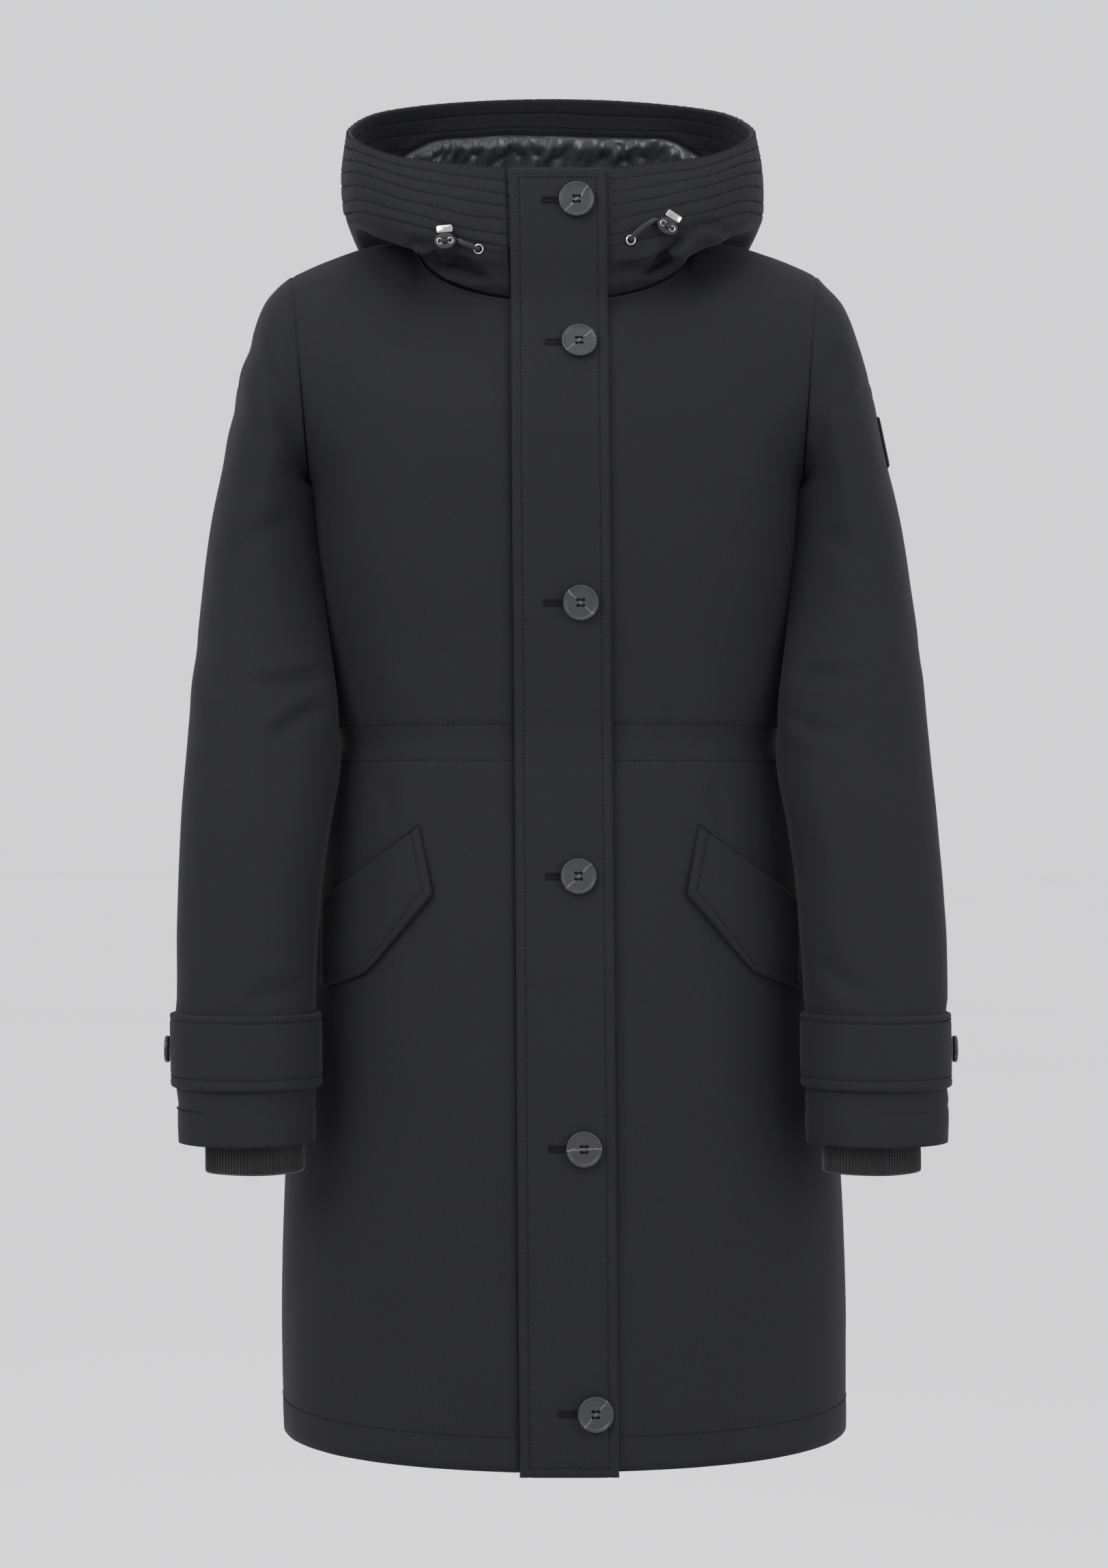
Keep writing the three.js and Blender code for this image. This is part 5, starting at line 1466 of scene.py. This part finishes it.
BUTTON_TILTS = (48, 40, -42, 46, 4, 50)
CUFF_BUTTON_TILT = 30
FRONT_BUTTON = {"radius": 12.6, "thick": 3.6, "rim": 1.3, "lip": 0.8}
CUFF_BUTTON = {"radius": 9.5, "thick": 3.0, "rim": 1.1, "lip": 0.7}
thread_parts = []
for k, (x, z) in enumerate(BUTTONS):
    seat, normal = touch(placket_skin, x + float(lean(z)), z, 8.0)
    seat = seat + normal * 0.7
    thread_parts += make_button(f"button_{k + 1}", seat, normal, BUTTON_TILTS[k], FRONT_BUTTON)
for label, side in (("left", 1), ("right", -1)):
    seat = sleeve_point(side, place_at((STRAP_TOP + STRAP_BOTTOM) / 2), 0.0)
    seat = seat + np.array([side * (STRAP_GAP + STRAP_THICK + 0.6), 0, 0])
    normal = np.array([float(side), 0, 0])
    thread_parts += make_button("cuff_button_" + label, seat, normal, CUFF_BUTTON_TILT, CUFF_BUTTON)
button_thread = mesh_object("button_thread", *joined(thread_parts), [THREAD])
outward(button_thread)
clothe(button_thread, slot="button")

# %% [markdown]
# A keyhole buttonhole lies level under each button, worked in close stitches over its edge.
# Only its end beyond the button is seen.

# %% Buttonholes
HOLE_STARTS = (-6.3, -4.7, -7.7, -7.9, -7.1, -1.8)
HOLE_LONG, HOLE_HALF, END_RUN, HOLE_STITCHES = 20.0, 1.5, 6, 64


def buttonhole_outline():
    """Places along the hole's edge: two straight sides, a round end and a wider one."""
    outline = []
    for k in range(HOLE_STITCHES):
        s = k / HOLE_STITCHES * 2 * (HOLE_LONG + END_RUN)
        if s < HOLE_LONG:
            outline.append((s, HOLE_HALF))
        elif s < HOLE_LONG + END_RUN:
            a = (s - HOLE_LONG) / END_RUN * math.pi
            outline.append((HOLE_LONG + HOLE_HALF * math.sin(a), HOLE_HALF * math.cos(a)))
        elif s < 2 * HOLE_LONG + END_RUN:
            outline.append((2 * HOLE_LONG + END_RUN - s, -HOLE_HALF))
        else:
            a = (s - 2 * HOLE_LONG - END_RUN) / END_RUN * math.pi
            outline.append((-2.2 * math.sin(a), -HOLE_HALF * math.cos(a) * (1 + 0.5 * math.sin(a))))
    return outline


hole_parts = []
for (x, z), start in zip(BUTTONS, HOLE_STARTS):
    for px, pz in buttonhole_outline():
        here, normal = touch(placket_skin, start + float(lean(z)) + px, z + pz, 3.0)
        direction = np.array([0, 0, 1.0 if pz > 0 else -1.0])
        hole_parts.append(tube([here + normal * 0.1 - direction * 0.9, here + normal * 0.55,
                                here + normal * 0.1 + direction * 0.9], 0.42, 5))
buttonholes = mesh_object("buttonholes", *joined(hole_parts), [THREAD])
outward(buttonholes)
clothe(buttonholes, slot="shell_fabric")

# %% [markdown]
# On each side of the placket a metal eyelet lets the drawcord out, and an oval lock sits on
# it. The lock is a rounded disc with two rimmed holes and a shallow slot between them, and it
# carries a small bright plate on its upper edge.

# %% Eyelets, locks and plates
LOCK_LONG, LOCK_SHORT, LOCK_THICK, LOCK_STAND = 7.8, 5.8, 5.0, 3.4
LOCK_SLOT = 1.5
HOLE_AWAY, RIM_RADIUS, RIM_THICK = 3.7, 1.95, 0.42
EYELET_RADIUS, EYELET_THICK = 3.0, 0.75
PLATE_LONG, PLATE_HIGH, PLATE_THICK = 11.5, 5.2, 1.2
smooth_hood_feel = feeler(hood_grid)


def lock_mesh(seat, normal, long_way, short_way):
    """An oval disc with rounded edges, two holes and a slot across its face for the cord."""
    sides, rings = 96, 30
    angle = np.linspace(0, 2 * np.pi, sides, endpoint=False)
    share = np.concatenate([np.linspace(0, 0.88, rings)[1:], [0.93, 0.97, 0.993, 1.0]])
    rounding = np.clip((share - 0.85) / 0.15, 0, 1)
    height = LOCK_THICK - 1.1 * (1 - np.sqrt(1 - rounding**2))
    x = share[:, None] * LOCK_LONG * np.cos(angle)
    y = share[:, None] * LOCK_SHORT * np.sin(angle)
    top = height[:, None] - LOCK_SLOT * np.exp(-(y / 1.7) ** 4 - (x / HOLE_AWAY) ** 6)
    for away in (-HOLE_AWAY, HOLE_AWAY):
        top = top - 1.4 * np.exp(-((x - away) ** 2 + y**2) / 1.5**2)
    low_share = np.array([1.0, 0.97, 0.85])[:, None]
    low_height = np.array([1.1, 0.3, 0.0])[:, None]
    x = np.concatenate([x, low_share * LOCK_LONG * np.cos(angle)])
    y = np.concatenate([y, low_share * LOCK_SHORT * np.sin(angle)])
    h = np.concatenate([top, low_height + 0 * angle])
    grid = seat + x[..., None] * long_way + y[..., None] * short_way + h[..., None] * normal
    vertices = np.vstack([grid.reshape(-1, 3), [seat + normal * (LOCK_THICK - LOCK_SLOT)], [seat]])
    return vertices, ring_faces(len(grid), sides) + end_faces(len(grid), sides)


def plate_mesh(seat, normal, long_way, short_way):
    """A small plate with rounded corners and bevelled edges."""
    outline = []
    corner, steps = 1.2, 6
    for cx, cy, first in ((1, 1, 0), (-1, 1, 90), (-1, -1, 180), (1, -1, 270)):
        for k in range(steps + 1):
            a = math.radians(first + 90 * k / steps)
            outline.append((cx * (PLATE_LONG / 2 - corner) + corner * math.cos(a),
                            cy * (PLATE_HIGH / 2 - corner) + corner * math.sin(a)))
    outline = np.array(outline)
    layers = []
    for inset, h in ((0.35, 0.0), (0.0, 0.3), (0.0, PLATE_THICK - 0.4),
                     (0.12, PLATE_THICK - 0.12), (0.4, PLATE_THICK)):
        flat = outline * (1 - inset / np.array([PLATE_LONG / 2, PLATE_HIGH / 2]))
        layers.append(seat + flat[:, :1] * long_way + flat[:, 1:] * short_way + h * normal)
    vertices = np.vstack(layers + [[seat], [seat + PLATE_THICK * normal]])
    rows, count = len(layers), len(outline)
    return vertices, ring_faces(rows, count) + end_faces(rows, count)


def ring_mesh(seat, normal, level, high, radius, thick, sides=14, steps=40):
    """A round metal ring that lies on the cloth or on the lock."""
    points = []
    for a in np.linspace(0, 2 * np.pi, steps, endpoint=False):
        away = level * math.cos(a) + high * math.sin(a)
        for b in np.linspace(0, 2 * np.pi, sides, endpoint=False):
            points.append(seat + normal * (thick * math.sin(b)) + away * (radius + thick * math.cos(b)))
    faces = []
    for i in range(steps):
        here, after = i * sides, (i + 1) % steps * sides
        for j in range(sides):
            k = (j + 1) % sides
            faces.append((here + j, here + k, after + k, after + j))
    return points, faces


def make_eyelet(label, x, z):
    """A metal ring on the hood where the cord comes out."""
    eye, normal = touch(hood_feel, x, z, 4.0)
    level, high = frame_of(normal, 0)
    ring = ring_mesh(eye + normal * 0.9, normal, level, high, EYELET_RADIUS, EYELET_THICK)
    eyelet = mesh_object("eyelet_" + label, *ring, [STEEL])
    outward(eyelet)
    clothe(eyelet, "eyelet_" + label, slot="metal")


def make_lock(label, seat, normal, long_way, short_way):
    """The oval disc, and its plate in one piece with the rims of the two holes."""
    lock = mesh_object("cord_lock_" + label, *lock_mesh(seat, normal, long_way, short_way), [LOCK_BODY])
    outward(lock)
    clothe(lock, "cord_lock_" + label, slot="cord_lock")
    plate_seat = seat + short_way * (LOCK_SHORT + PLATE_HIGH / 2 + 0.3) + normal * (LOCK_THICK / 2)
    metal_parts = [plate_mesh(plate_seat, normal, long_way, short_way)]
    for away in (-HOLE_AWAY, HOLE_AWAY):
        middle = seat + normal * (LOCK_THICK + 0.1) + long_way * away
        metal_parts.append(ring_mesh(middle, normal, long_way, short_way, RIM_RADIUS, RIM_THICK))
    plate = mesh_object("lock_plate_" + label, *joined(metal_parts), [STEEL])
    outward(plate)
    clothe(plate, "lock_plate_" + label, slot="metal")
    return lock, plate


print("lock:", 2 * LOCK_LONG, "by", 2 * LOCK_SHORT, "mm, plate:", PLATE_LONG, "by", PLATE_HIGH, "mm")

# %% [markdown]
# The cord comes out of the eyelet and crosses to the lock. There it runs in under the disc, up
# through the first hole, across the face in the slot, and down through the second one. Its
# route is a short list of places on the hood, each with its height above the cloth.

# %% Drawcords
CORD_DIAMETER = 0.0028
CORD_ENDS = {
    "right": {"route": [(-53.8, -21.8, 0.6), (-55.5, -21.2, 3.0), (-60, -19.4, 3.8), (-64.0, -18.2, 4.6)],
              "lock": (-77, -16.6), "tilt": 4},
    "left": {"route": [(54.7, -15.5, 0.6), (57, -12.2, 3.0), (61.5, -8.0, 4.4), (66.5, -4.8, 4.8)],
             "lock": (80.5, -6.5), "tilt": -32},
}


def make_cord(label, path):
    """A smooth curve with the cord's thickness through the points of its path."""
    curve = bpy.data.curves.new("cord_" + label, "CURVE")
    curve.dimensions = "3D"
    curve.bevel_depth = CORD_DIAMETER / 2
    curve.bevel_resolution = 4
    curve.use_fill_caps = True
    spline = curve.splines.new("BEZIER")
    spline.bezier_points.add(len(path) - 1)
    for point, place in zip(spline.bezier_points, path):
        point.co = tuple(place * MM)
        point.handle_left_type = point.handle_right_type = "AUTO"
    spline.resolution_u = 8
    curve.materials.append(CORD_CLOTH)
    cord = bpy.data.objects.new("finished_cord_" + label, curve)
    bpy.context.scene.collection.objects.link(cord)
    bpy.context.view_layer.update()
    return cord


# share of the lock's half length, height and sideways step, from its edge to the last hole
OVER = LOCK_THICK - 0.2
THROUGH_LOCK = [
    (1.2, -0.2, 0), (0.85, -1.0, 0), (0.56, 0.6, 0), (0.47, OVER - 1.4, 0), (0.3, OVER, 0),
    (0.0, OVER + 0.3, 0.2), (-0.3, OVER, 0), (-0.47, OVER - 1.4, 0), (-0.56, 0.6, 0), (-0.75, -0.9, 0.2),
]
for label, end in CORD_ENDS.items():
    make_eyelet(label, *end["route"][0][:2])
    lock_seat, lock_normal = touch(smooth_hood_feel, *end["lock"], 8.0)
    lock_normal = 0.4 * lock_normal + np.array([0, -0.6, 0.0])
    lock_normal /= np.linalg.norm(lock_normal)
    long_way, short_way = frame_of(lock_normal, end["tilt"])
    lock_seat = lock_seat + lock_normal * LOCK_STAND
    lock, plate = make_lock(label, lock_seat, lock_normal, long_way, short_way)

    path = []
    for x, z, stand in end["route"]:
        here, normal = touch(smooth_hood_feel, x, z, 6.0)
        folded, _ = touch(hood_feel, x, z, 5.0)
        here[1] = min(here[1], folded[1])
        path.append(here + normal * (stand + 1.4))
    towards = 1 if label == "right" else -1
    for share, height, sideways in THROUGH_LOCK:
        along = long_way * (LOCK_LONG * share * towards)
        path.append(lock_seat + along + lock_normal * height + short_way * sideways)
    cord = make_cord(label, path)
    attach(cord, "root")
    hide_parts("cord_" + label)

# %% [markdown]
# Stitches are tiny capsules of thread set along every seam and hem by one Geometry Nodes
# tree. It takes polylines, spaces points along them evenly, sets a stitch on each and
# makes them real. The lines are read from the finished skins, a little proud of them.

# %% Stitch tree
def stitch_tree():
    tree = bpy.data.node_groups.new("row of stitches", "GeometryNodeTree")
    tree.interface.new_socket(name="Geometry", in_out="INPUT", socket_type="NodeSocketGeometry")
    for label, value in (("Pitch", 0.0034), ("Length", 0.0025), ("Thickness", 0.0004)):
        socket = tree.interface.new_socket(name=label, in_out="INPUT", socket_type="NodeSocketFloat")
        socket.default_value = value
    colour = tree.interface.new_socket(name="Thread", in_out="INPUT", socket_type="NodeSocketMaterial")
    colour.default_value = THREAD
    tree.interface.new_socket(name="Geometry", in_out="OUTPUT", socket_type="NodeSocketGeometry")
    given, made = tree.nodes.new("NodeGroupInput"), tree.nodes.new("NodeGroupOutput")
    spaced = tree.nodes.new("GeometryNodeCurveToPoints")
    spaced.mode = "LENGTH"
    tree.links.new(given.outputs["Geometry"], spaced.inputs["Curve"])
    tree.links.new(given.outputs["Pitch"], spaced.inputs["Length"])
    bead = tree.nodes.new("GeometryNodeMeshUVSphere")
    bead.inputs["Segments"].default_value = 6
    bead.inputs["Rings"].default_value = 3
    bead.inputs["Radius"].default_value = 1.0
    size = tree.nodes.new("ShaderNodeCombineXYZ")
    half = tree.nodes.new("ShaderNodeMath")
    half.operation = "MULTIPLY"
    half.inputs[1].default_value = 0.5
    tree.links.new(given.outputs["Length"], half.inputs[0])
    tree.links.new(given.outputs["Thickness"], size.inputs[0])
    tree.links.new(given.outputs["Thickness"], size.inputs[1])
    tree.links.new(half.outputs[0], size.inputs[2])
    setting = tree.nodes.new("GeometryNodeInstanceOnPoints")
    tree.links.new(spaced.outputs["Points"], setting.inputs["Points"])
    tree.links.new(bead.outputs["Mesh"], setting.inputs["Instance"])
    tree.links.new(spaced.outputs["Rotation"], setting.inputs["Rotation"])
    tree.links.new(size.outputs[0], setting.inputs["Scale"])
    real = tree.nodes.new("GeometryNodeRealizeInstances")
    tree.links.new(setting.outputs[0], real.inputs[0])
    smooth = tree.nodes.new("GeometryNodeSetShadeSmooth")
    tree.links.new(real.outputs[0], smooth.inputs[0])
    painted = tree.nodes.new("GeometryNodeSetMaterial")
    tree.links.new(smooth.outputs[0], painted.inputs["Geometry"])
    tree.links.new(given.outputs["Thread"], painted.inputs["Material"])
    tree.links.new(painted.outputs[0], made.inputs[0])
    return tree


STITCHES = stitch_tree()


def sew(name, paths, pitch=3.4, length=2.5, thickness=0.56):
    """Real stitches along polylines given in mm."""
    sizes = {"Pitch": pitch, "Length": length, "Thickness": thickness}
    curve = bpy.data.curves.new(name + "_line", "CURVE")
    curve.dimensions = "3D"
    for path in paths:
        spline = curve.splines.new("POLY")
        spline.points.add(len(path) - 1)
        spline.points.foreach_set("co", np.column_stack([np.asarray(path) * MM, np.ones(len(path))]).ravel())
    line = bpy.data.objects.new(name + "_line", curve)
    bpy.context.scene.collection.objects.link(line)
    modifier = line.modifiers.new("stitches", "NODES")
    modifier.node_group = STITCHES
    for item in STITCHES.interface.items_tree:
        if item.in_out == "INPUT" and item.name in sizes:
            modifier[item.identifier] = sizes[item.name] * MM
    bpy.context.view_layer.update()
    shape = line.evaluated_get(bpy.context.evaluated_depsgraph_get())
    mesh = bpy.data.meshes.new_from_object(shape)
    bpy.data.objects.remove(line)
    thing = bpy.data.objects.new(name, mesh)
    bpy.context.scene.collection.objects.link(thing)
    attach(thing, "root")
    print(name, len(paths), "rows,", len(mesh.polygons), "faces")


# %% [markdown]
# Now the rows themselves. Those on placket and flaps are felt from the front. Those on the
# body and the hood follow a row of the skin's own points, and those round the sleeves follow
# a ring of the sleeve.

# %% Stitched rows
def row_on(tree, xz, out=0.05):
    """A row of stitches along x, z places on a skin seen from the front."""
    path = []
    for x, z in xz:
        here, normal = touch(tree, x, z, 2.0)
        if here is not None:
            path.append(here + normal * out)
    return path


def straight(start, end, step=4.0):
    """Places about step mm apart on a straight line between two x, z places."""
    (ax, az), (bx, bz) = start, end
    count = max(2, int(math.hypot(bx - ax, bz - az) / step))
    return [(ax + (bx - ax) * k / count, az + (bz - az) * k / count) for k in range(count + 1)]


stitch_left, stitch_right = PLACKET_LEFT + TOPSTITCH, PLACKET_RIGHT - TOPSTITCH
stitch_low, stitch_high = PLACKET_BOTTOM + TOPSTITCH, PLACKET_TOP - TOPSTITCH
placket_rows = []
for x in (stitch_left, stitch_right):
    line = [(x + float(lean(z)), z) for z in np.arange(stitch_low, stitch_high + 0.5, 4)]
    placket_rows.append(row_on(placket_skin, line))
for z in (stitch_high, stitch_low):
    shift = float(lean(z))
    placket_rows.append(row_on(placket_skin, straight((stitch_left + shift, z), (stitch_right + shift, z))))
sew("placket_stitches", placket_rows)

body_rows = []
for outer in (left_skin, right_skin, back_skin):
    normals = grid_normals(outer)
    middle = outer.shape[1] // 2
    hem_height = outer[0, 0, 2] + HEM_STITCH
    for column, level in ((middle, WAIST_TOP), (middle, WAIST_BOTTOM), (0, hem_height)):
        k = int(np.argmin(np.abs(outer[:, column, 2] - level)))
        body_rows.append(outer[k] + normals[k] * 0.1)
sew("body_stitches", body_rows)

hood_rows = []
hood_skin_normals = grid_normals(hood_outer)
order = np.argsort(np.where(hood_turns < 0, hood_turns + 360, hood_turns))
order = order[((hood_turns > COVERED_TO) | (hood_turns < COVERED_FROM - 1))[order]]
for k in range(BAND_CHANNELS + 1):
    level = min(k / BAND_CHANNELS, 0.985)
    r = int(np.argmin(np.abs(band_share - level) + 10 * (hood_places < BAND_START)))
    hood_rows.append(hood_outer[r, order] + hood_skin_normals[r, order] * 0.1)
inner_normals = grid_normals(hood_inner)
for k in (4, 5):
    r = int(np.argmin(np.abs(band_share - k / BAND_CHANNELS)))
    hood_rows.append(hood_inner[r] - inner_normals[r] * 0.1)
sew("hood_stitches", hood_rows, pitch=3.6, length=2.6)

# %% [markdown]
# Flaps, straps and sleeve hems come in pairs, so one loop sews both sides. Just above the seam
# that holds a flap, a dense row of short thick dark stitches is set as a painted shadow line for the shade
# along that seam.

# %% Rows on flaps, straps and sleeves
# flap corner, and the step from it to the corner of the stitched line
FLAP_STITCH_STEPS = (
    ("top_inner", (7.4, -1.5)), ("low_inner", (7.9, 3.0)), ("point", (0.6, 7.6)), ("low_outer", (-3.0, 7.2)))
# step from a flap's top corners to the painted shadow line just above its sewn edge
SHADOW_LINE_STEP = np.array([0.5, 0.9])
around = np.linspace(0, 1, 121)
strap_out = STRAP_GAP + STRAP_THICK - 0.7
sleeve_rows = ((STRAP_TOP - STRAP_TOP_STITCH, strap_out), (STRAP_BOTTOM + STRAP_LOW_STITCH, strap_out),
               (SLEEVE[-1, 2] + SLEEVE_HEM_STITCH, -0.8))
for label, side, tree in (("left", 1, flap_left_feel), ("right", -1, flap_right_feel)):
    corners = [flap_corner(name) + np.array(step) for name, step in FLAP_STITCH_STEPS]
    rows = []
    for start, end in zip(corners[:-1], corners[1:]):
        line = [(side * x + float(lean(z)), z) for x, z in straight(start, end)]
        rows.append(row_on(tree, line))
    sew("flap_stitches_" + label, [row for row in rows if len(row) > 1])
    # Painted shadow: a dense row of short thick dark stitches just above each flap's sewn edge stands for the
    # shade along that seam.
    shadow_line = straight(flap_corner("top_inner") + SHADOW_LINE_STEP, flap_corner("top_outer") + SHADOW_LINE_STEP, step=3.0)
    shadow_line = row_on(front_feel, [(side * x + float(lean(z)), z) for x, z in shadow_line])
    sew("flap_seam_" + label, [shadow_line], pitch=1.1, length=1.3, thickness=0.75)
    rows = []
    for z, out in sleeve_rows:
        ring, _, away = ring_at(side, z, around)
        rows.append(ring + away * (out + 0.1))
    sew("sleeve_stitches_" + label, rows)

# %% [markdown]
# A plain pale studio: the coat floats above a large floor with soft lamps left, right and
# above, as in the picture. The world is a pale grey, so the cloth shows its own tone.

# %% Studio
FLOOR = -1.45
PALE = (0.63, 0.63, 0.64, 1)
floor_mesh = bpy.data.meshes.new("floor")
floor_mesh.from_pydata(
    [(-30, -12, FLOOR), (30, -12, FLOOR), (30, 40, FLOOR), (-30, 40, FLOOR)], [], [(0, 1, 2, 3)])
FLOOR_LOOK, floor_tree, floor_shader = new_material("pale floor", 0.9, specular=0.1)
floor_clouds = grouped(floor_tree, mottle_group, Size=2.5, Detail=1.0)
floor_colour = blend_colours(floor_tree, floor_clouds.outputs["Mask"], (0.29, 0.29, 0.29), (0.33, 0.33, 0.33))
floor_tree.links.new(floor_colour, floor_shader.inputs["Base Color"])
floor_shader.inputs["Emission Color"].default_value = PALE
floor_shader.inputs["Emission Strength"].default_value = 0.66
floor_mesh.materials.append(FLOOR_LOOK)
floor = bpy.data.objects.new("floor", floor_mesh)
bpy.context.scene.collection.objects.link(floor)

world = bpy.data.worlds.new("studio")
world.use_nodes = True
world.node_tree.nodes["Background"].inputs["Color"].default_value = PALE
world.node_tree.nodes["Background"].inputs["Strength"].default_value = 1.0
bpy.context.scene.world = world
bpy.context.scene.view_settings.view_transform = "Standard"

LAMPS = [
    # name, place, size, watts
    ("key", (-1.7, -2.2, 1.1), 1.8, 46),
    ("fill", (2.0, -1.8, 0.2), 2.0, 24),
    ("top", (0.0, -0.6, 1.9), 1.8, 12),
]
for name, place, size, watts in LAMPS:
    lamp_data = bpy.data.lights.new(name, "AREA")
    lamp_data.shape = "SQUARE"
    lamp_data.size = size
    lamp_data.energy = watts
    lamp = bpy.data.objects.new(name, lamp_data)
    lamp.location = place
    aim = np.array([0, 0, -0.4]) - np.array(place)
    aim /= np.linalg.norm(aim)
    lamp.rotation_euler = (math.acos(-aim[2]), 0, math.atan2(-aim[0], aim[1]))
    bpy.context.scene.collection.objects.link(lamp)
print("lamps:", len(LAMPS))

# %% [markdown]
# Last, the dressed coat is measured.

triangles = 0
for thing in bpy.data.objects:
    if thing.type == "MESH":
        triangles += sum(len(face.vertices) - 2 for face in thing.data.polygons)
print("triangles in all:", triangles)
